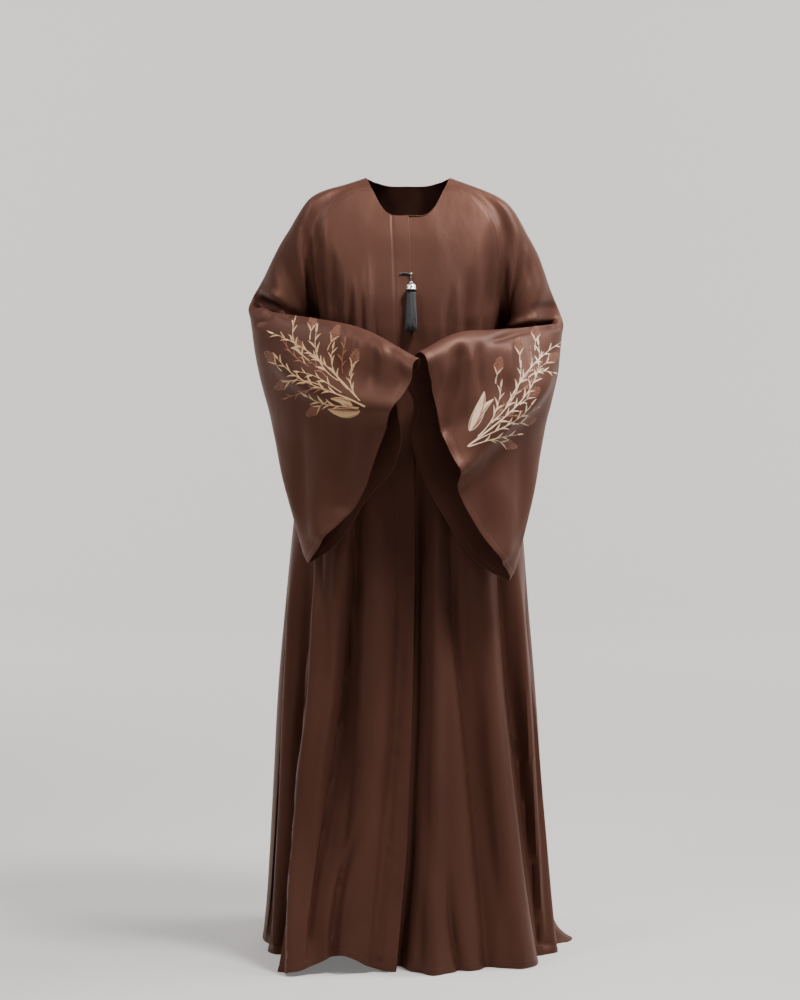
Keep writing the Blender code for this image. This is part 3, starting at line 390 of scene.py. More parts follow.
# Lights: name, place, target, width and height, power
LIGHTS = (
    ("key", (0.8, -0.8, 1.6), (0.1, 0.0, -0.3), (0.5, 0.5), 98),
    ("fill", (-1.2, -1.2, 1.2), (-0.1, 0.0, -0.3), (0.5, 0.8), 26),
    ("side", (1.7, 0.1, 1.1), (0.1, 0.0, -0.2), (0.7, 0.7), 34),
    ("back", (0.5, 3.2, 1.4), (0.0, 0.0, -0.6), (2.4, 1.8), 30),
    ("wall_right", (3.5, 4.0, 3.6), (2.5, 11.0, 0.0), (2.5, 1.5), 455),
    ("wall_left", (-3.5, 4.0, 3.6), (-2.5, 11.0, 0.0), (2.5, 1.5), 430),
    ("floor_right", (3.2, 0.5, 3.0), (3.0, 1.0, -1.46), (2.0, 2.0), 110),
    ("floor_left", (-3.2, 0.5, 3.0), (-3.0, 1.0, -1.46), (2.0, 2.0), 74),
)

# Camera: where it stands, its tilt and its lens
CAMERA_PLACE, CAMERA_TILT, CAMERA_LENS = (-0.0154, -5.0, -0.41), 2.24, 93.74

random.seed(7)


def unit(vector):
    return vector / max(np.linalg.norm(vector), 1e-12)


def units(vectors):
    """Unit vectors, along an array's last axis."""
    return vectors / np.maximum(np.linalg.norm(vectors, axis=-1, keepdims=True), 1e-12)


def smooth(value):
    value = min(max(value, 0.0), 1.0)
    return value * value * (3.0 - 2.0 * value)


def eased(values):
    """smooth() for an array."""
    values = np.clip(values, 0.0, 1.0)
    return values * values * (3.0 - 2.0 * values)


def bell(offsets, width):
    return np.exp(-(offsets / width) ** 2)


def hermite(start, end, start_slope, end_slope, t):
    return ((2 * t ** 3 - 3 * t ** 2 + 1) * start + (t ** 3 - 2 * t ** 2 + t) * start_slope
            + (3 * t ** 2 - 2 * t ** 3) * end + (t ** 3 - t ** 2) * end_slope)


def fill_rows(rows, steps):
    """Rows between the rows of a table, on smooth curves through each of its points."""
    rows = np.asarray(rows, float)
    filled = []
    for k in range(len(rows) - 1):
        before = rows[max(k - 1, 0)]
        after = rows[min(k + 2, len(rows) - 1)]
        start_slope = (rows[k + 1] - before) * (0.5 if k else 1.0)
        end_slope = (after - rows[k]) * (0.5 if k + 2 < len(rows) else 1.0)
        for i in range(steps):
            filled.append(hermite(rows[k], rows[k + 1], start_slope, end_slope, i / steps))
    filled.append(rows[-1])
    return np.array(filled)


def span(start, end, start_way, end_way, places):
    """Points of a smooth stretch of cloth that leaves start and reaches end along two unit vectors."""
    reach = np.linalg.norm(end - start)
    return [hermite(start, end, start_way * reach, end_way * reach, t) for t in places]


def even(count):
    return [i / count for i in range(count + 1)]


def between(low, high, share):
    return low + (high - low) * share


def body_rows():
    """Six guide points of each row of the body, for x to the wearer's right, then to the left."""
    rows = []
    for front_y, front_z, sx, sy, sz, rx, ry, rz, back_y, back_z in YOKE:
        rows.append([half_row((0.0, front_y, front_z), (side * sx, sy, sz), (side * rx, ry, rz),
                              (0.0, back_y, back_z)) for side in (-1, 1)])
    for z, right, left, front_depth, back_depth in SKIRT:
        rows.append([half_row((0.0, -front_depth, z), (x, 0.0, z), (x, 0.0, z), (0.0, back_depth, z))
                     for x in (-right, left)])
    filled = fill_rows(rows, ROW_STEPS)
    for halves in filled[JOINED:]:
        for half in halves:
            half[2] = half[3] = (half[2] + half[3]) * 0.5
    return filled


def half_row(*corners):
    """Guide points of one side of a row, from its front centre, two seam points and back centre."""
    front, seam, rear, back = np.array(corners)
    return front, middle(seam, front), seam, rear, middle(rear, back), back


def middle(seam, centre):
    """Guide point between a seam and the centre line, where the row rounds over."""
    point = seam + (centre - seam) * MID_OUT
    point[0] = seam[0] * MID_ACROSS
    return point


def sleeve_rows(side):
    """Seven guide points of each row of a sleeve, from the front seam over the top to the back seam."""
    tops = SLEEVE_TOPS_RIGHT if side < 0 else SLEEVE_TOPS_LEFT
    flip = np.array((side, 1.0, 1.0))
    rows = []
    for (top_x, top_z), swells, yoke in zip(tops, YOKE_SWELL, YOKE):
        top, seam, rear = flip * (top_x, SHOULDER_Y, top_z), flip * yoke[2:5], flip * yoke[5:8]
        rows.append(section(top, seam, rear, 0.0, side, swells * 2, (0.0, 0.0)))
    for row in SLEEVE_RIGHT if side < 0 else SLEEVE_LEFT:
        top, seam = flip * row[0:3], flip * row[3:6]
        rows.append(section(top, seam, seam, row[6], side, row[7:11], row[11:13]))
    return rows


def section(top, seam, rear, facing, side, widths, reaches):
    turn = math.radians(facing)
    out = np.array((side * math.sin(turn), -math.cos(turn), 0.0))
    along = np.array((-side * math.cos(turn), -math.sin(turn), 0.0))
    front_low, front_high, rear_low, rear_high = widths
    return (
        seam,
        between(seam, top, LOW_LEVEL) + out * front_low + along * reaches[0],
        between(seam, top, HIGH_LEVEL) + out * front_high,
        top,
        between(rear, top, HIGH_LEVEL) - out * rear_high,
        between(rear, top, LOW_LEVEL) - out * rear_low + along * reaches[1],
        rear,
    )


def filled_sleeve(side, body):
    """Sleeve rows at the body's spacing down to the underarm, and at their own below it."""
    rows = sleeve_rows(side)
    upper = fill_rows(rows, ROW_STEPS)[:JOINED]
    lower = fill_rows(rows, SLEEVE_STEPS)[UNDERARM_ROW * SLEEVE_STEPS:]
    for k, points in enumerate(upper):
        half = body[k][0 if side < 0 else 1]
        points[0], points[6] = half[2], half[3]
    lower[0][0][0] += side * UNDERARM_GAP
    lower[0][6][0] += side * UNDERARM_GAP
    return np.concatenate([upper, lower])


def lap_edge_x(z):
    heights = [-row[0] for row in LAP_EDGE]
    return float(np.interp(-z, heights, [row[1] for row in LAP_EDGE]))


def openness(row):
    """0 where the seam's rows run on over the sleeve, 1 where body and sleeve have parted."""
    return smooth((row / ROW_STEPS - (UNDERARM_ROW - 2)) / 2.0)


def body_grids(guides, sleeves):
    """The whole front and the whole back as grids, rows from the neck down."""
    front_rows, back_rows = [], []
    for k, halves in enumerate(guides):
        front_halves, back_halves = [], []
        for side, (front, front_mid, seam, rear, back_mid, back) in enumerate(halves):
            other = halves[1 - side]
            seam_way = unit(back_mid - front_mid)
            rear_way = seam_way
            if k < JOINED:
                sleeve = sleeves[side][k]
                parted = openness(k)
                seam_way = unit(between(unit(sleeve[1] - front_mid), seam_way, parted))
                rear_way = unit(between(unit(back_mid - sleeve[5]), rear_way, parted))
            centre_way = unit(front_mid - other[1])
            mid_way = unit(seam - front)
            length = np.linalg.norm(front_mid - front)
            places = [0.0] + [step / length for step in LAP_STEPS if side == 0]
            first, rest = places[-1], FRONT_STEPS[0] + 1 - len(places)
            places[-1:] = [first + (1.0 - first) * i / rest for i in range(rest + 1)]
            points = span(front, front_mid, centre_way, mid_way, places)
            points += span(front_mid, seam, mid_way, seam_way, even(FRONT_STEPS[1]))[1:]
            front_halves.append(points)
            back_way = unit(back - rear)
            end_way = unit(other[4] - back_mid)
            points = span(rear, back_mid, rear_way, back_way, even(BACK_STEPS[0]))
            points += span(back_mid, back, back_way, end_way, even(BACK_STEPS[1]))[1:]
            back_halves.append(points)
        front_rows.append(front_halves[0][::-1] + front_halves[1][1:])
        back_rows.append(back_halves[1] + back_halves[0][::-1][1:])
    front_grid, back_grid = np.array(front_rows), np.array(back_rows)
    shift_lap(front_grid)
    return front_grid, back_grid


def shift_lap(front_grid):
    """Moves the middle of the front across, so that its columns follow the lap edge."""
    centre = sum(FRONT_STEPS)
    for row in front_grid:
        shift = lap_edge_x(row[centre][2])
        reach = 0.6 * (row[-1][0] - row[0][0]) * 0.5
        for point in row:
            point[0] += shift * smooth(1.0 - abs(point[0]) / reach)


def sleeve_grid(rows, body, side):
    """A sleeve as a grid: a strip over the shoulder, then a closed tube."""
    grid = []
    for k, points in enumerate(rows):
        ways = [None] * 7
        for i in range(1, 6):
            ways[i] = unit(points[i + 1] - points[i - 1])
        across = unit(points[1] - points[5])
        ways[0] = unit(across + unit(points[1] - points[0]))
        ways[6] = unit(across + unit(points[6] - points[5]))
        if k < JOINED:
            half = body[k][side]
            parted = openness(k)
            ways[0] = unit(between(unit(points[1] - half[1]), ways[0], parted))
            ways[6] = unit(between(unit(half[4] - points[5]), ways[6], parted))
        row = [points[0]]
        for i, count in enumerate(SLEEVE_COLUMNS):
            row += span(points[i], points[i + 1], ways[i], ways[i + 1], even(count))[1:]
        grid.append(row)
    grid = np.array(grid)
    return grid[:, ::-1] if side == 0 else grid


def angle_between(first, second):
    return abs((first - second + 180.0) % 360.0 - 180.0)


def facing(point, width, front, back):
    """The way a point of the body faces, in degrees from the front, as on an ellipse."""
    depth = front if point[1] < 0.0 else back
    return math.degrees(math.atan2(point[0] / width, -point[1] / depth))


def fold_out(angle, z):
    """How far the skirt's folds and the hem's corners move a point of the body out."""
    out = 0.0
    for top_angle, hem_angle, start_z, depth, width in FOLDS:
        if z < start_z:
            share = (start_z - z) / (start_z - FLOOR_Z)
            off = angle_between(angle, between(top_angle, hem_angle, share)) / width
            out += depth * smooth(share / FOLD_DEEPEST) * math.exp(-off * off)
    for centre, reach, width, height in CORNERS:
        rise = (z - FLOOR_Z) / height
        if rise < 1.0:
            off = angle_between(angle, centre) / width
            out += reach * (1.0 - rise) ** 2 * math.exp(-off * off)
    return out


def drape(front_grid, back_grid):
    """Folds the rows below the underarm and lifts the hem where it rests higher."""
    for front_row, back_row in zip(front_grid, back_grid):
        width = (front_row[-1][0] - front_row[0][0]) * 0.5
        sizes = (width, -front_row[:, 1].min(), back_row[:, 1].max())
        for point in (*front_row, *back_row):
            angle = facing(point, *sizes)
            away = unit(np.array((point[0], point[1], 0.0)))
            share = 1.0 - (point[2] - FLOOR_Z) / HEM_LIFT_HEIGHT
            point += away * fold_out(angle, point[2])
            if share > 0.0:
                off = angle_between(angle, HEM_LIFT_ANGLE) / HEM_LIFT_WIDTH
                point[2] += HEM_LIFT * share * math.exp(-off * off)


def refine(values, steps):
    """Points between those of an array, along its first axis, on smooth curves through them all."""
    chords = np.linalg.norm(values[1:] - values[:-1], axis=-1, keepdims=True)
    chords = np.maximum(chords, 1e-7)
    secants = (values[1:] - values[:-1]) / chords
    slopes = np.empty_like(values)
    before, after = chords[:-1], chords[1:]
    slopes[1:-1] = (secants[:-1] * after + secants[1:] * before) / (before + after)
    slopes[0] = 2.0 * secants[0] - slopes[1]
    slopes[-1] = 2.0 * secants[-1] - slopes[-2]
    filled = []
    for k, count in enumerate(steps):
        t = (np.arange(count) / count).reshape((count,) + (1,) * (values.ndim - 1))
        filled.append(hermite(values[k], values[k + 1], slopes[k] * chords[k],
                              slopes[k + 1] * chords[k], t))
    filled.append(values[-1:])
    return np.concatenate(filled)


def refined(grid, row_steps, column_fine):
    rows = refine(grid, row_steps)
    columns = refine(rows.swapaxes(0, 1), [column_fine] * (grid.shape[1] - 1))
    return np.ascontiguousarray(columns.swapaxes(0, 1))


def vertex_sums(grid):
    """Sum of the normals of the faces round each point of a grid, by its row and column."""
    sums = np.zeros_like(grid)
    across = grid[:, 1:] - grid[:, :-1]
    down = grid[1:, :] - grid[:-1, :]
    normals = np.cross(down[:, :-1], across[:-1]) + np.cross(down[:, 1:], across[1:])
    sums[:-1, :-1] += normals
    sums[1:, :-1] += normals
    sums[:-1, 1:] += normals
    sums[1:, 1:] += normals
    return sums


def join_sums(first, first_column, second, second_column, rows):
    """Gives the points on both sides of a seam the sum of both their sums."""
    total = first[rows, first_column] + second[rows, second_column]
    first[rows, first_column] = total
    second[rows, second_column] = total


def shared_normals(front, back, right_sleeve, left_sleeve):
    """Normals of the four grids, where the panels on both sides of a seam share theirs."""
    sums = [vertex_sums(grid) for grid in (front, back, right_sleeve, left_sleeve)]
    for first, second in ((0, 3), (3, 1), (1, 2), (2, 0)):
        join_sums(sums[first], -1, sums[second], 0, slice(0, JOINED_FINE))
    for first, edge, second, second_edge in ((0, -1, 1, 0), (1, -1, 0, 0), (2, 0, 2, -1), (3, 0, 3, -1)):
        join_sums(sums[first], edge, sums[second], second_edge, slice(JOINED_FINE, None))
    return [units(total) for total in sums]


def down_columns(grid):
    """How far each point is from its column's first point, down the column."""
    steps = np.linalg.norm(grid[1:] - grid[:-1], axis=2)
    return np.concatenate([np.zeros((1, grid.shape[1])), np.cumsum(steps, axis=0)])


def along_rows(grid):
    """How far each point is from its row's first point, along the row."""
    return down_columns(grid.swapaxes(0, 1)).swapaxes(0, 1)


def to_last_row(grid):
    """How far each point is from its column's last point, down the column."""
    return down_columns(grid[::-1])[::-1]


def crease_line(points):
    line = np.reshape(points, (-1, 2))
    return refine(line, [CREASE_FINE] * (len(line) - 1)) if len(line) > 2 else line


def crease_heights(grid, normals, creases, front_side):
    """How far soft troughs and ridges move each point of a grid along its normal."""
    heights = np.zeros(grid.shape[:2])
    turned = -normals[..., 1] * (1.0 if front_side else -1.0)
    seen = eased((turned - CREASE_FACING) / CREASE_FACING_FADE)
    flat = grid[..., (0, 2)]
    for points, depth, width, fade_in, fade_out, *lean in creases:
        line = crease_line(points)
        reach = width * CREASE_REACH
        near = (flat > line.min(0) - reach).all(axis=2) & (flat < line.max(0) + reach).all(axis=2)
        near &= seen > 0.0
        if not near.any():
            continue
        spots = flat[near]
        ways = line[1:] - line[:-1]
        lengths = np.linalg.norm(ways, axis=1)
        starts = np.concatenate([[0.0], np.cumsum(lengths)])
        offsets = spots[:, None] - line[None, :-1]
        places = np.clip((offsets * ways).sum(2) / lengths ** 2, 0.0, 1.0)
        rests = offsets - places[..., None] * ways
        distances = np.linalg.norm(rests, axis=2)
        best = distances.argmin(axis=1)
        rows = np.arange(len(spots))
        side = np.sign(ways[best, 0] * offsets[rows, best, 1] - ways[best, 1] * offsets[rows, best, 0])
        along = (starts[best] + places[rows, best] * lengths[best]) / starts[-1]
        wide = width * (1.0 + sum(lean) * side)
        ends = eased((along + 1e-6) / (fade_in + 1e-6)) * eased((1.0 - along + 1e-6) / (fade_out + 1e-6))
        heights[near] += depth * ends * bell(distances[rows, best], wide) * seen[near]
    return heights


def mirrored(creases, side):
    """Creases of one side without a lean, turned to the other where side is -1."""
    return [(np.reshape(points, (-1, 2)) * (side, 1), *rest) for points, *rest in creases]


def seam_heights(distances):
    return -SEAM_DIP * bell(distances, SEAM_DIP_WIDTH)


def hem_heights(distances):
    """A turned hem: a soft dip along its stitches and a round edge."""
    dip = -HEM_DIP * bell(distances - HEM_WIDTH, HEM_DIP_WIDTH)
    return dip + HEM_FULL * eased((HEM_WIDTH - distances) / HEM_ROUND)


def placket_heights(distances, lengths):
    """The line of stitches beside the lap edge, with the cloth puckered along it."""
    off = distances - PLACKET_LINE
    dip = -PLACKET_DIP * bell(off, PLACKET_DIP_WIDTH)
    drift = PUCKER_DRIFT * np.sin(lengths * PUCKER_DRIFT_RATE)
    wave = np.sin(lengths * 2 * math.pi / PUCKER_LENGTH + drift)
    swell = eased(np.sin(lengths * 2 * math.pi / SWELL_LENGTH + SWELL_START))
    swell *= eased((PUCKER_TOP - lengths) / PUCKER_FADE)
    return dip + PUCKER_DEPTH * wave * swell * bell(off, PUCKER_REACH)


def make_cloth():
    """Outer points and normals of the front, the back and the two sleeves, as grids."""
    guides = body_rows()
    sleeves = [filled_sleeve(-1, guides), filled_sleeve(1, guides)]
    front, back = body_grids(guides, sleeves)
    drape(front, back)
    right, left = [sleeve_grid(rows, guides, side) for side, rows in enumerate(sleeves)]
    body_steps = [BODY_ROW_FINE] * (len(front) - 1)
    sleeve_steps = [BODY_ROW_FINE] * JOINED + [SLEEVE_ROW_FINE] * (len(right) - 1 - JOINED)
    grids = [refined(front, body_steps, FRONT_FINE), refined(back, body_steps, BACK_FINE),
             refined(right, sleeve_steps, SLEEVE_FINE), refined(left, sleeve_steps, SLEEVE_FINE)]
    normals = shared_normals(*grids)
    heights = [crease_heights(grids[0], normals[0], CHEST_CREASES + SKIRT_CREASES, True),
               crease_heights(grids[1], normals[1], BACK_CREASES, False)]
    upper = slice(0, JOINED_FINE + CHEST_ROWS)
    for n, creases, side in ((2, SLEEVE_CREASES_RIGHT, -1), (3, SLEEVE_CREASES_LEFT, 1)):
        grid, normal = grids[n], normals[n]
        height = np.zeros(grid.shape[:2])
        height[upper] += crease_heights(grid[upper], normal[upper], CHEST_CREASES, True)
        height += crease_heights(grid, normal, creases, True)
        heights.append(height + crease_heights(grid, normal, mirrored(SLEEVE_BACK_CREASES, side), False))
    for grid, normal, height in zip(grids, normals, heights):
        grid += normal * height[..., None]
    front, back, right, left = grids
    columns = np.arange(right.shape[1]) / (right.shape[1] - 1)
    shape_cuff(right, CUFF_RIGHT_FRONT, CUFF_RIGHT_REAR, eased((CUFF_TURN_RIGHT - columns) / CUFF_BLEND))
    shape_cuff(left, CUFF_LEFT_FRONT, CUFF_LEFT_REAR, eased((columns - CUFF_TURN_LEFT) / CUFF_BLEND))
    for body in (front, back):
        clear_sleeves(body)
    sew(grids, normals)
    return grids, shared_normals(*grids)


def clear_sleeves(grid):
    """Draws the body's sides in below the underarms, clear of the sleeves' inner sides."""
    across, height = grid[..., 0], grid[..., 2]
    seam_end = min(height[JOINED_FINE, 0], height[JOINED_FINE, -1])
    beside = eased((seam_end - height) / SIDE_FADE) * eased((height - SIDE_PULL_LOW) / SIDE_FADE_LOW)
    across -= np.sign(across) * SIDE_PULL * beside * eased((np.abs(across) - SIDE_PULL_FROM) / SIDE_FADE)


def shape_cuff(grid, front_edge, rear_edge, facing_out):
    """Draws the cloth near a cuff along the sleeve, so that its edges run as seen from the front."""
    last = grid[-1].copy()
    way = units(grid[-1] - grid[-1 - 2 * SLEEVE_ROW_FINE])
    shifts = np.zeros(len(last))
    for edge, share in ((front_edge, facing_out), (rear_edge, 1.0 - facing_out)):
        heights = [-z for _, z in edge]
        target = np.interp(-last[:, 2], heights, [x for x, _ in edge])
        inside = eased((-last[:, 2] - heights[0]) / CUFF_FADE) * eased((heights[-1] + last[:, 2]) / CUFF_FADE)
        lean = np.sign(way[:, 0]) * np.maximum(np.abs(way[:, 0]), CUFF_LEAN)
        shifts += share * inside * np.clip((target - last[:, 0]) / lean, -CUFF_MOST, CUFF_MOST)
    window = 2 * CUFF_EVEN + 1
    shifts = np.convolve(np.pad(shifts, CUFF_EVEN, mode="edge"), np.ones(window) / window, mode="valid")
    pull = eased(1.0 - to_last_row(grid) / CUFF_REACH)
    grid += way[None] * (shifts[None] * pull)[..., None]


def sew(grids, normals):
    """The dips of seams, hems, cuffs and placket."""
    for n, (grid, normal) in enumerate(zip(grids, normals)):
        across = along_rows(grid)
        down = to_last_row(grid)
        height = hem_heights(down) + seam_heights(across) + seam_heights(across[:, -1:] - across)
        if n == 0:
            from_edge = across[:, CENTRE_FINE:CENTRE_FINE + 1] - across
            height += placket_heights(from_edge, down) * (from_edge > 0.0)
        grid += normal * height[..., None]


def quads(index):
    """Faces between the points of a grid, from their numbers."""
    faces = np.stack([index[:-1, :-1], index[1:, :-1], index[1:, 1:], index[:-1, 1:]], axis=2)
    return faces.reshape(-1, 4)


def new_mesh(name, corners, faces):
    mesh = bpy.data.meshes.new(name)
    mesh.from_pydata(corners.tolist(), [], faces)
    mesh.validate()
    mesh.shade_smooth()
    return mesh


def wall_mesh(name, outer, normals, closed_from):
    """A panel as one closed wall, whose rows are tubes from closed_from on."""
    rows, columns = outer.shape[:2]
    size = rows * columns
    index = np.arange(size).reshape(rows, columns)
    if closed_from < rows:
        index[closed_from:, -1] = index[closed_from:, 0]
    layers = np.stack([index, index + size])
    faces = quads(index)
    parts = [faces, faces[:, ::-1] + size]
    last = min(rows - 1, closed_from)
    borders = [[(0, i) for i in range(columns)], [(rows - 1, i) for i in range(columns)][::-1]]
    borders += [[(k, 0) for k in range(last + 1)][::-1], [(k, columns - 1) for k in range(last + 1)]]
    rims = []
    for border in borders:
        for first, second in zip(border, border[1:]):
            rims.append((layers[0][first], layers[0][second], layers[1][second], layers[1][first]))
    parts.append(np.array(rims))
    faces = np.concatenate(parts)
    points = np.concatenate([outer.reshape(-1, 3), (outer - normals * CLOTH).reshape(-1, 3)])
    used = np.zeros(len(points), bool)
    used[faces.ravel()] = True
    renumber = np.cumsum(used) - 1
    mesh = new_mesh(name, points[used], renumber[faces].tolist())
    mesh.set_sharp_from_angle(angle=math.radians(50))
    return mesh


def place_object(name, data):
    placed = bpy.data.objects.new(name, data)
    bpy.context.scene.collection.objects.link(placed)
    return placed


def add_object(name, mesh, material):
    mesh.materials.append(material)
    return place_object(name, mesh)


def dress(piece, slot, *nodes):
    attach(piece, "root")
    if nodes:
        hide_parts(*nodes)
    return piece


def lengths_to(points):
    """How far each point of a line is along it."""
    return np.concatenate([[0.0], np.cumsum(np.linalg.norm(np.diff(points, axis=0), axis=1))])


def point_at(place, places, line):
    """The point at a place on a line, where places says how far along it its points are."""
    return np.array([np.interp(place, places, line[:, n]) for n in range(line.shape[1])])


def to_left(way):
    return np.array((-way[1], way[0]))


def lapped(front, normals):
    """The left front: its edge lies behind the right front's lap."""
    first = CENTRE_FINE - len(LAP_STEPS) * FRONT_FINE
    grid, ways = front[:, first:].copy(), normals[:, first:]
    across = along_rows(front)
    past = across[:, first:] - across[:, CENTRE_FINE:CENTRE_FINE + 1]
    behind = (CLOTH + LAP_GAP) * eased(1.0 - past / LAP_WIDTH)
    low = eased((LAP_LOW - grid[..., 2]) / LAP_LOW_LENGTH)
    lowest = eased((LAP_LOWEST - grid[..., 2]) / LAP_LOWEST_LENGTH)
    recess = LAP_RECESS * low + (LAP_RECESS_HEM - LAP_RECESS) * lowest
    behind += recess * bell(past - LAP_RECESS_WIDTH * LAP_RECESS_MIDDLE, LAP_RECESS_WIDTH)
    grid -= ways * behind[..., None]
    return grid, ways


def ring_corners(points, first, second, radii, sides):
    """Rings of corners round points, each in the plane of its two unit vectors."""
    turns = np.arange(sides) * 2 * math.pi / sides
    ring = first[:, None] * np.cos(turns)[None, :, None] + second[:, None] * np.sin(turns)[None, :, None]
    return (points[:, None] + ring * np.broadcast_to(radii, len(points))[:, None, None]).reshape(-1, 3)


def ring_faces(rings, sides, closed=False):
    """Faces between neighbouring rings of corners."""
    faces = []
    for k in range(rings if closed else rings - 1):
        first, second = k * sides, (k + 1) % rings * sides
        for i in range(sides):
            j = (i + 1) % sides
            faces.append((first + i, first + j, second + j, second + i))
    return faces


def rim_tube(points, normals, closed):
    """A fine rolled edge along a border of the cloth, as corners and faces."""
    middles = points - normals * CLOTH * 0.5
    ways = np.roll(middles, -1, axis=0) - np.roll(middles, 1, axis=0)
    if not closed:
        ways[0], ways[-1] = middles[1] - middles[0], middles[-1] - middles[-2]
    corners = ring_corners(middles, normals, np.cross(units(ways), normals), ROLL_RADIUS, ROLL_SIDES)
    return corners, ring_faces(len(middles), ROLL_SIDES, closed)


class Store:
    """Corners and faces of one piece, gathered from many small shapes, and what it is stitched on."""

    def __init__(self, ground=None):
        self.ground = ground
        self.corners = []
        self.faces = []
        self.count = 0

    def add(self, corners, faces):
        self.corners.append(np.asarray(corners))
        self.faces += [tuple(int(i) + self.count for i in face) for face in faces]
        self.count += len(corners)

    def piece(self, name, material, slot, *nodes):
        mesh = new_mesh(name, np.concatenate(self.corners), self.faces)
        dress(add_object(name, mesh, material), slot, *nodes)


def add_thread(store, line, normals, radius):
    """A thread along a line on the cloth, with two faces to its outer side."""
    across = units(np.cross(np.gradient(line, axis=0), normals))
    rings = np.stack([line - across * radius - normals * radius * 0.3, line + normals * radius,
                      line + across * radius - normals * radius * 0.3], axis=1)
    faces = []
    for k in range(len(line) - 1):
        for i in range(2):
            faces.append((k * 3 + i, k * 3 + 1 + i, k * 3 + 4 + i, k * 3 + 3 + i))
    store.add(rings.reshape(-1, 3), faces)


class Ground:
    """The outer side of a sleeve as seen from the front, to stitch on."""

    def __init__(self, grid):
        corners = grid.reshape(-1, 3)
        faces = quads(np.arange(len(corners)).reshape(grid.shape[:2]))
        self.tree = BVHTree.FromPolygons(corners.tolist(), faces.tolist())

    def at(self, x, z):
        """The place and normal of the cloth at x z, or nothing beside it."""
        place, normal, _, _ = self.tree.ray_cast(Vector((x, -1.0, z)), Vector((0.0, 1.0, 0.0)))
        if place is None:
            return None
        normal = normal if normal.y < 0.0 else -normal
        if normal.y > -0.12:
            return None
        return np.array(place), np.array(normal)

    def line(self, spots, lifts):
        """Places over the cloth and its normals along x z spots, or nothing where one is beside it."""
        found = [self.at(x, z) for x, z in spots]
        if any(item is None for item in found):
            return None
        normals = np.array([item[1] for item in found])
        places = np.array([item[0] for item in found]) + normals * np.asarray(lifts)[:, None]
        if np.abs(np.diff(places[:, 1])).max() > 0.006:
            return None
        return places, normals


def direction(degrees):
    return np.array((math.cos(math.radians(degrees)), math.sin(math.radians(degrees))))


def bent(start, end, bow, count):
    """Spots on a curve from start to end that bows to one side."""
    start, end = np.asarray(start, float), np.asarray(end, float)
    chord = end - start
    aside = to_left(chord) * 2.0 * bow
    return np.array([hermite(start, end, chord + aside, chord - aside, t) for t in np.linspace(0, 1, count)])


def grown(start, end, first_way, last_way, count):
    """Spots on a stem from start to end, which leaves and ends along two ways."""
    start, end = np.asarray(start, float), np.asarray(end, float)
    reach = np.linalg.norm(end - start) * 1.15
    ways = direction(first_way) * reach, direction(last_way) * reach
    return np.array([hermite(start, end, *ways, t) for t in np.linspace(0, 1, count)])


def stitch(store, spots, lift, radius):
    placed = store.ground.line(spots, [-THREAD_SINK] + [lift] * (len(spots) - 2) + [-THREAD_SINK])
    if placed:
        add_thread(store, *placed, radius)


def stem_stitch(store, curve, thick):
    """A stem: short slanted stitches that overlap along a curve, side by side where it is thick."""
    lengths = lengths_to(curve)
    whole = lengths[-1]
    place = 0.0
    while place < whole - STEM_END:
        rows = max(1, round(between(thick, STEM_TIP, place / whole) / STEM_ROW))
        for row in range(rows):
            spots = []
            for step in (0.0, STEM_STEP, STEM_STEP * 2):
                at = min(place + step, whole)
                spot = point_at(at, lengths, curve)
                ahead = point_at(min(at + STEM_AHEAD, whole), lengths, curve)
                way = unit(ahead - spot) if at < whole - 0.0001 else unit(curve[-1] - curve[-2])
                off = (row - (rows - 1) * 0.5) * STEM_ROW + (step - STEM_STEP) * STEM_SLANT
                spots.append(spot + to_left(way) * off)
            stitch(store, spots, THREAD_LIFT, THREAD_RADIUS * 1.15)
        place += STEM_PITCH


def leaf_width(t):
    """Share of a leaf's full width at a place from its foot to its tip."""
    return math.sin(math.pi * t ** LEAF_FRONT) ** LEAF_ROUND


def broad_leaf(thread, copper, start, end, half_width, bow):
    """A leaf with slanted threads from its rib to each edge, in two colours, and a stitched rib."""
    rib = bent(start, end, bow, 17)
    places = np.linspace(0.0, 1.0, 17)
    ways = units(np.gradient(rib, axis=0))
    count = int(np.linalg.norm(np.subtract(end, start)) / THREAD_PITCH)
    for n in range(count):
        t = (n + 0.5) / count
        spot = point_at(t, places, rib)
        way = unit(point_at(t, places, ways))
        aside = to_left(way)
        wide = half_width * leaf_width(t) * random.uniform(0.94, 1.02)
        for store, side, reach in ((thread, 1, 0.97), (copper, -1, 0.9), (thread, -1, 0.42)):
            end_spot = spot + aside * side * wide * reach + way * wide * 0.8
            start_spot = spot + aside * side * 0.0006
            stitch(store, (start_spot, (start_spot + end_spot) * 0.5, end_spot),
                   THREAD_LIFT * 1.2, THREAD_RADIUS)
    stem_stitch(thread, rib, 0.0008)


def leaf(store, start, end, half_width, bow):
    """A leaf in satin stitch: slanted threads from edge to edge."""
    rib = bent(start, end, bow, 9)
    length = np.linalg.norm(np.subtract(end, start))
    count = max(4, int(length / THREAD_PITCH))
    places = np.linspace(0.0, 1.0, 9)
    slant = LEAF_SLANT * half_width / length
    for n in range(count):
        t = (n + 0.5) / count
        spot = point_at(t, places, rib)
        way = unit(point_at(min(t + 0.05, 1.0), places, rib) - point_at(max(t - 0.05, 0.0), places, rib))
        wide = half_width * leaf_width(min(t + 0.02, 1.0)) * random.uniform(0.94, 1.04)
        lead = way * slant * length * (1.0 - t)
        left, right = spot + to_left(way) * wide + lead, spot - to_left(way) * wide + lead
        stitch(store, (left, spot + lead * 0.5, right), THREAD_LIFT * 1.5, THREAD_RADIUS)


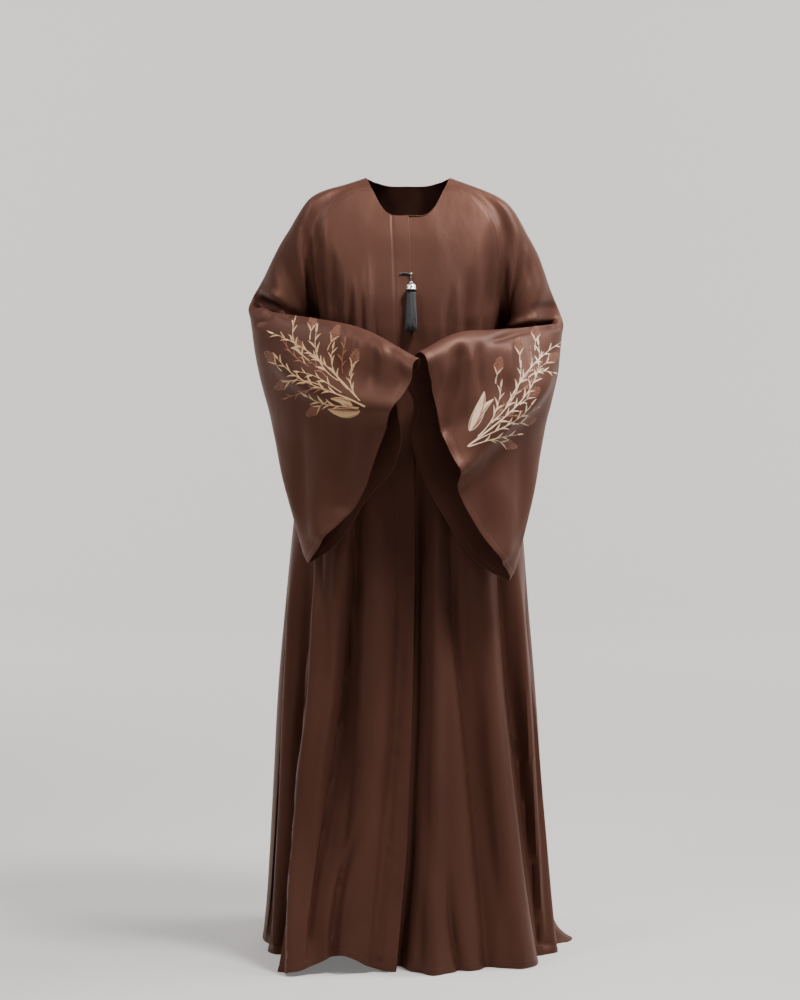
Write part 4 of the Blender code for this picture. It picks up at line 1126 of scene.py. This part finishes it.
def knot(store, x, z, size):
    found = store.ground.at(x, z)
    if found is None:
        return
    place, normal = found
    first = unit(np.cross(normal, (0.0, 0.0, 1.0)))
    second = np.cross(normal, first)
    corners = []
    for radius, height in ((1.0, -0.1), (0.72, 0.55)):
        for i in range(5):
            turn = 2 * math.pi * (i + height) / 5
            corners.append(place + (first * math.cos(turn) + second * math.sin(turn)) * radius * size
                           + normal * height * size)
    corners.append(place + normal * size * 0.62)
    faces = [(i, (i + 1) % 5, 5 + (i + 1) % 5, 5 + i) for i in range(5)]
    faces += [(5 + i, 5 + (i + 1) % 5, 10) for i in range(5)]
    store.add(corners, faces)


def seed_head(thread, copper, x, z, way):
    """A head of copper knots held by two narrow leaves."""
    along = direction(way)
    aside = to_left(along)
    centre = np.array((x, z))
    rows = int(HEAD_LONG / KNOT_PITCH) + 1
    for a in range(-rows, rows + 1):
        for b in range(-rows, rows + 1):
            u = (a + (b % 2) * 0.5) * KNOT_PITCH + random.uniform(-KNOT_STRAY, KNOT_STRAY)
            v = b * KNOT_PITCH * 0.86 + random.uniform(-KNOT_STRAY, KNOT_STRAY)
            taper = 1.0 - HEAD_TAPER * max(u, 0.0) / HEAD_LONG
            if (u / HEAD_LONG) ** 2 + (v / (HEAD_WIDE * taper)) ** 2 < 1.0:
                spot = centre + along * u + aside * v
                knot(copper, spot[0], spot[1], KNOT_RADIUS * random.uniform(0.85, 1.1))
    foot = centre - along * (HEAD_LONG + HEAD_FOOT)
    stem_stitch(thread, bent(foot - along * HEAD_STEM, foot, 0.08, 6), 0.0012)
    for side in (-1, 1):
        tip = foot + along * 0.017 + aside * side * (HEAD_WIDE + 0.0014)
        leaf(thread, foot, tip, 0.0012, -side * 0.16)


def heading_of(way):
    return math.degrees(math.atan2(way[1], way[0]))


def leafy_stem(thread, row):
    """A stem with curved leaves on both sides and one at its tip."""
    x0, z0, x1, z1, leaving, ending, thick, first_leaf, leaf_length = row
    curve = grown((x0, z0), (x1, z1), leaving, ending, 28)
    stem_stitch(thread, curve, thick)
    steps = lengths_to(curve)
    place, side = first_leaf * steps[-1], random.choice((-1, 1))
    while place < steps[-1] - 0.006:
        spot = point_at(place, steps, curve)
        heading = heading_of(point_at(place + 0.004, steps, curve) - spot)
        size = leaf_length * between(1.1, 0.75, place / steps[-1]) * random.uniform(*LEAF_SIZES)
        tip = spot + direction(heading + side * random.uniform(*LEAF_ANGLES)) * size
        leaf(thread, spot, tip, size * LEAF_WIDE, -side * random.uniform(*LEAF_BOWS))
        place += random.uniform(*LEAF_SPACING)
        side = -side
    tip = curve[-1] + direction(heading_of(curve[-1] - curve[-3])) * leaf_length * 0.8
    leaf(thread, curve[-1], tip, leaf_length * TIP_WIDE, 0.08)


def spray(ground, plan):
    """Stems with leaves along them, broad leaves and seed heads."""
    thread, copper = Store(ground), Store(ground)
    for row in plan["twigs"]:
        leafy_stem(copper, row)
    for row in plan["stems"]:
        leafy_stem(thread, row)
    for x0, z0, x1, z1, half_width, bow in plan["broad"]:
        broad_leaf(thread, copper, (x0, z0), (x1, z1), half_width, bow)
        chord = np.array((x1 - x0, z1 - z0))
        aside = to_left(chord) / np.linalg.norm(chord)
        edge = bent((x0, z0), (x1, z1), bow, 16)
        swell = np.sin(math.pi * np.linspace(0.0, 1.0, 16) ** LEAF_FRONT)[:, None] ** LEAF_ROUND
        for side in (-1, 1):
            stem_stitch(thread, edge + aside * side * (half_width + 0.0009) * swell, 0.0009)
    for x, z, way in plan["heads"]:
        seed_head(thread, copper, x, z, way)
    return thread, copper


def build_embroidery(grids):
    cream = thread_material("cream_thread", colour_of(222, 180, 130), 0.42)
    pale = thread_material("pale_thread", colour_of(234, 202, 168), 0.42)
    copper_colour = thread_material("copper_thread", colour_of(146, 84, 50), 0.36)
    for name, grid, plan, colour in (("right", grids[2], SPRAY_RIGHT, cream),
                                     ("left", grids[3], SPRAY_LEFT, pale)):
        thread, copper = spray(Ground(grid), plan)
        thread.piece("spray_" + name, colour, "thread")
        copper.piece("seeds_" + name, copper_colour, "thread")


def turned_shape(profile, segments, petals, depth):
    """A turned cap about its own axis, with petals pressed into its shoulder."""
    corners = []
    for radius, height in profile:
        swell = math.exp(-((height - CAP_PETAL_HEIGHT) / CAP_PETAL_LENGTH) ** 2)
        for i in range(segments):
            turn = 2 * math.pi * i / segments
            out = radius + depth * abs(math.sin(turn * petals * 0.5)) ** 0.5 * swell
            corners.append((out * math.cos(turn), out * math.sin(turn), height))
    faces = [(a, d, c, b) for a, b, c, d in ring_faces(len(profile), segments)]
    return np.array(corners), faces


def tube_shape(points, radius, sides):
    """A closed tube along points."""
    points = np.asarray(points, float)
    ways = units(np.gradient(points, axis=0))
    first = units(np.cross(ways, SKEW))
    corners = ring_corners(points, first, np.cross(ways, first), radius, sides)
    faces = ring_faces(len(points), sides)
    faces.append(tuple(range(sides))[::-1])
    faces.append(tuple((len(points) - 1) * sides + i for i in range(sides)))
    return corners, faces


def tilted(corners, foot):
    """Points of the hanging tassel, whose own axis leans with the front."""
    lean = np.array(((1.0, 0.0, 0.0), (0.0, math.cos(TASSEL_LEAN), -math.sin(TASSEL_LEAN)),
                     (0.0, math.sin(TASSEL_LEAN), math.cos(TASSEL_LEAN))))
    return np.asarray(corners) @ lean.T + np.array(foot)


def build_strands():
    """Fine twisted strands that leave a bound head, each with its own small waves."""
    store = Store()
    for n in range(STRAND_COUNT):
        turn, ring = n * STRAND_TURN, math.sqrt((n + 0.5) / STRAND_COUNT)
        root, end = ring * STRAND_ROOT, ring * STRAND_SPREAD
        length = STRAND_LENGTH * random.uniform(0.9, 1.0)
        phase, wave = random.uniform(0, 6.28), random.uniform(*STRAND_WAVES)
        points = []
        for t in np.linspace(0.0, 1.0, 9):
            out = between(root, end, t ** 0.8)
            sway = wave * math.sin(t * 7.0 + phase) * t
            points.append((out * math.cos(turn) + sway, out * math.sin(turn) + sway * 0.6, -length * t))
        corners, faces = tube_shape(points, STRAND_RADIUS, 4)
        store.add(tilted(corners, STRANDS_TOP), faces)
    corners, faces = tube_shape(HEAD_POINTS, HEAD_RADII, 24)
    store.add(tilted(corners, STRANDS_TOP), faces)
    return store


def plaited(points, radius, plies, pitch, wide):
    """Cords wound round one another along points."""
    store = Store()
    points = np.asarray(points, float)
    steps = lengths_to(points)
    for ply in range(plies):
        line = []
        for s in np.linspace(0.0, steps[-1], PLAIT_POINTS):
            way = unit(point_at(s + PLAIT_AHEAD, steps, points) - point_at(s - PLAIT_AHEAD, steps, points))
            first = unit(np.cross(way, SKEW))
            turn = 2 * math.pi * (s / pitch + ply / plies)
            aside = first * math.cos(turn) + np.cross(way, first) * math.sin(turn)
            line.append(point_at(s, steps, points) + aside * wide)
        store.add(*tube_shape(line, radius, 6))
    return store


def build_tassel(thread, metal):
    """The tassel's cap, strands, cord and toggle in finer form."""
    store = Store()
    corners, faces = turned_shape(CAP_PROFILE, 48, CAP_PETALS, CAP_PETAL_DEPTH)
    store.add(tilted(corners, CAP_TOP), faces)
    store.piece("cap_fine", metal, "silver", "tassel_cap")
    build_strands().piece("strands_fine", thread, "black_cord", "tassel_strands")
    plaited(CORD_POINTS, *CORD_SIZES).piece("cord_fine", thread, "black_cord", "tassel_cord")
    plaited(TOGGLE_POINTS, *TOGGLE_SIZES).piece("toggle_fine", thread, "black_cord", "tassel_toggle")


def build_rims(panels, grids, normals, material):
    """Rolled edges along the hem, the cuffs, the lap edge and the neck."""
    store = Store()
    for node, (outer, ways) in panels.items():
        closed = node.startswith("sleeve")
        end = -1 if closed else None
        store.add(*rim_tube(outer[-1, :end], ways[-1, :end], closed))
    store.add(*rim_tube(grids[0][:, CENTRE_FINE], normals[0][:, CENTRE_FINE], False))
    for grid, ways in zip(grids, normals):
        store.add(*rim_tube(grid[0], ways[0], False))
    store.piece("rolled_edges", material, "cloth")


def colour_of(red, green, blue):
    """Scene colour of an 8-bit display colour."""
    values = []
    for value in (red, green, blue):
        part = value / 255.0
        values.append(part / 12.92 if part <= 0.04045 else ((part + 0.055) / 1.055) ** 2.4)
    return (*values, 1.0)


def new_material(name):
    material = bpy.data.materials.new(name)
    material.use_nodes = True
    tree = material.node_tree
    return material, tree, tree.nodes["Principled BSDF"]


def set_inputs(node, values):
    for socket, value in values.items():
        node.inputs[socket].default_value = value


def link(tree, start, end):
    tree.links.new(start, end)


def object_noise(tree, scale, detail, stretch=(1.0, 1.0, 1.0)):
    place = tree.nodes.new("ShaderNodeTexCoord")
    mapping = tree.nodes.new("ShaderNodeMapping")
    noise = tree.nodes.new("ShaderNodeTexNoise")
    set_inputs(mapping, {"Scale": stretch})
    set_inputs(noise, {"Scale": scale, "Detail": detail})
    link(tree, place.outputs["Object"], mapping.inputs["Vector"])
    link(tree, mapping.outputs["Vector"], noise.inputs["Vector"])
    return noise


def add_ramp(tree, noise, shader, places, colours):
    """A base colour between two colours, by a noise."""
    ramp = tree.nodes.new("ShaderNodeValToRGB")
    for element, place, colour in zip(ramp.color_ramp.elements, places, colours):
        element.position = place
        element.color = colour
    link(tree, noise.outputs["Fac"], ramp.inputs["Fac"])
    link(tree, ramp.outputs["Color"], shader.inputs["Base Color"])


def add_bump(tree, noise, end, strength, distance):
    """A bump by a noise, which gives a node its normal."""
    bump = tree.nodes.new("ShaderNodeBump")
    set_inputs(bump, {"Strength": strength, "Distance": distance})
    link(tree, noise.outputs["Fac"], bump.inputs["Height"])
    link(tree, bump.outputs["Normal"], end.inputs["Normal"])
    return bump


def cloth_material():
    """Satin: fine crosswise threads, soft rumples and slightly uneven colour."""
    material, tree, shader = new_material("satin")
    set_inputs(shader, {"Roughness": 0.46, "Metallic": 0.16, "Specular IOR Level": 0.26,
                        "Specular Tint": colour_of(225, 180, 155), "Sheen Weight": 0.05,
                        "Sheen Roughness": 0.4, "Sheen Tint": colour_of(190, 130, 100)})
    patches = object_noise(tree, 9.0, 3.0, (1.0, 1.0, 0.35))
    add_ramp(tree, patches, shader, (0.3, 0.72), (colour_of(66, 41, 34), colour_of(79, 50, 41)))
    rumples = object_noise(tree, 30.0, 3.0, (1.0, 1.0, 0.3))
    threads = object_noise(tree, 900.0, 2.0, (1.0, 1.0, 3.0))
    thread_bump = add_bump(tree, threads, shader, 0.2, 0.0002)
    add_bump(tree, rumples, thread_bump, 0.55, 0.002)
    return material


def thread_material(name, colour, roughness):
    material, tree, shader = new_material(name)
    set_inputs(shader, {"Roughness": roughness, "Sheen Weight": 0.25})
    noise = object_noise(tree, 420.0, 2.0)
    shade = tuple(part * 0.72 for part in colour[:3]) + (1.0,)
    add_ramp(tree, noise, shader, (0.3, 0.7), (shade, colour))
    add_bump(tree, noise, shader, 0.4, 0.0002)
    return material


def silver_material():
    material, tree, shader = new_material("silver")
    set_inputs(shader, {"Metallic": 1.0})
    noise = object_noise(tree, 260.0, 4.0)
    add_ramp(tree, noise, shader, (0.35, 0.65), (colour_of(150, 146, 140), colour_of(222, 219, 212)))
    rough = tree.nodes.new("ShaderNodeMapRange")
    set_inputs(rough, {"To Min": 0.18, "To Max": 0.42})
    link(tree, noise.outputs["Fac"], rough.inputs["Value"])
    link(tree, rough.outputs["Result"], shader.inputs["Roughness"])
    add_bump(tree, noise, shader, 0.25, 0.0002)
    return material


def stage_material():
    material, _, shader = new_material("studio_floor")
    set_inputs(shader, {"Base Color": colour_of(204, 199, 195), "Roughness": 0.85, "Specular IOR Level": 0.2,
                        "Emission Color": (1.0, 0.985, 0.97, 1.0), "Emission Strength": 0.16})
    return material


def build_stage():
    """A pale floor that curves up far away on all sides, so that no edge shows."""
    profile = [(0.0, 0.0), (2.0, 0.0), (4.0, 0.0), (FLAT_RADIUS, 0.0)]
    profile += [(FLAT_RADIUS + CURVE_RADIUS * math.sin(a), CURVE_RADIUS - CURVE_RADIUS * math.cos(a))
                for a in (math.radians(10 * n) for n in range(1, 10))]
    mesh = bpy.data.meshes.new("studio_floor")
    work = bmesh.new()
    chain = [work.verts.new((radius, 0.0, FLOOR_Z - FLOOR_GAP + height)) for radius, height in profile]
    edges = [work.edges.new(pair) for pair in zip(chain, chain[1:])]
    bmesh.ops.spin(work, geom=chain + edges, cent=(0, 0, 0), axis=(0, 0, 1), angle=2 * math.pi,
                   steps=96, use_merge=True)
    bmesh.ops.remove_doubles(work, verts=work.verts, dist=1e-5)
    bmesh.ops.recalc_face_normals(work, faces=work.faces)
    work.to_mesh(mesh)
    work.free()
    mesh.shade_smooth()
    add_object("studio_floor", mesh, stage_material())


def area_light(name, place, target, size, power):
    light = bpy.data.lights.new(name, "AREA")
    light.shape = "RECTANGLE"
    light.size, light.size_y = size
    light.energy = power
    lamp = place_object(name, light)
    lamp.location = place
    lamp.rotation_euler = (Vector(target) - Vector(place)).to_track_quat("-Z", "Y").to_euler()


def build_lights():
    for row in LIGHTS:
        area_light(*row)
    world = bpy.data.worlds.new("studio")
    world.use_nodes = True
    set_inputs(world.node_tree.nodes["Background"], {"Color": (1.0, 0.99, 0.98, 1.0), "Strength": 0.12})
    bpy.context.scene.world = world


def build_camera():
    camera = bpy.data.cameras.new("camera")
    camera.lens = CAMERA_LENS
    camera.sensor_width = 36.0
    holder = place_object("camera", camera)
    holder.location = CAMERA_PLACE
    holder.rotation_euler = (math.radians(90.0 - CAMERA_TILT), 0.0, 0.0)
    bpy.context.scene.camera = holder


def line_inside(grid, normals, distance):
    """The line at a distance from a grid's first row, and the cloth's normals along it."""
    sums = down_columns(grid)
    columns = range(grid.shape[1])
    points = [point_at(distance, sums[:, n], grid[:, n]) for n in columns]
    return np.array(points), np.array([unit(point_at(distance, sums[:, n], normals[:, n])) for n in columns])


def build_stitches(panels, material):
    """Small raised stitches along the placket, the hem and the cuffs."""
    lap = [part[:, ::-1].swapaxes(0, 1) for part in panels["front_right"]]
    lines = [line_inside(*lap, PLACKET_LINE)]
    lines += [line_inside(outer[::-1], ways[::-1], HEM_WIDTH) for outer, ways in panels.values()]
    store = Store()
    for points, ways in lines:
        steps = lengths_to(points)
        for place in np.arange(0.001, steps[-1] - STITCH_LENGTH, STITCH_PITCH):
            spots, facings = [], []
            for off, lift in ((0.0, 0.0), (0.5, STITCH_LIFT), (1.0, 0.0)):
                at = place + off * STITCH_LENGTH
                way = unit(point_at(at, steps, ways))
                spots.append(point_at(at, steps, points) + way * lift)
                facings.append(way)
            add_thread(store, np.array(spots), np.array(facings), STITCH_RADIUS)
    store.piece("stitches", material, "thread")


def build_panels(grids, normals, material):
    """The pieces of cloth by the nodes they replace, with their rolled edges and stitches."""
    front, back, right, left = zip(grids, normals)
    panels = {"front_right": [part[:, :CENTRE_FINE + 1] for part in front], "front_left": lapped(*front),
              "back": back, "sleeve_right": right, "sleeve_left": left}
    pieces = {}
    for node, (outer, ways) in panels.items():
        closed_from = JOINED_FINE if node.startswith("sleeve") else len(outer)
        mesh = wall_mesh(node + "_cloth", outer, ways, closed_from)
        pieces[node] = dress(add_object(node + "_cloth", mesh, material), "cloth", node)
    build_rims(panels, grids, normals, material)
    build_stitches(panels, thread_material("sewing_thread", colour_of(70, 44, 35), 0.5))
    return pieces


build_stage()
build_lights()
build_camera()
cloth = cloth_material()
panel_grids, panel_normals = make_cloth()
cloth_pieces = build_panels(panel_grids, panel_normals, cloth)

build_embroidery(panel_grids)

silver = silver_material()
build_tassel(thread_material("black_thread", colour_of(46, 45, 47), 0.5), silver)
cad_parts["tassel_bead"].data.materials.clear()
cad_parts["tassel_bead"].data.materials.append(silver)
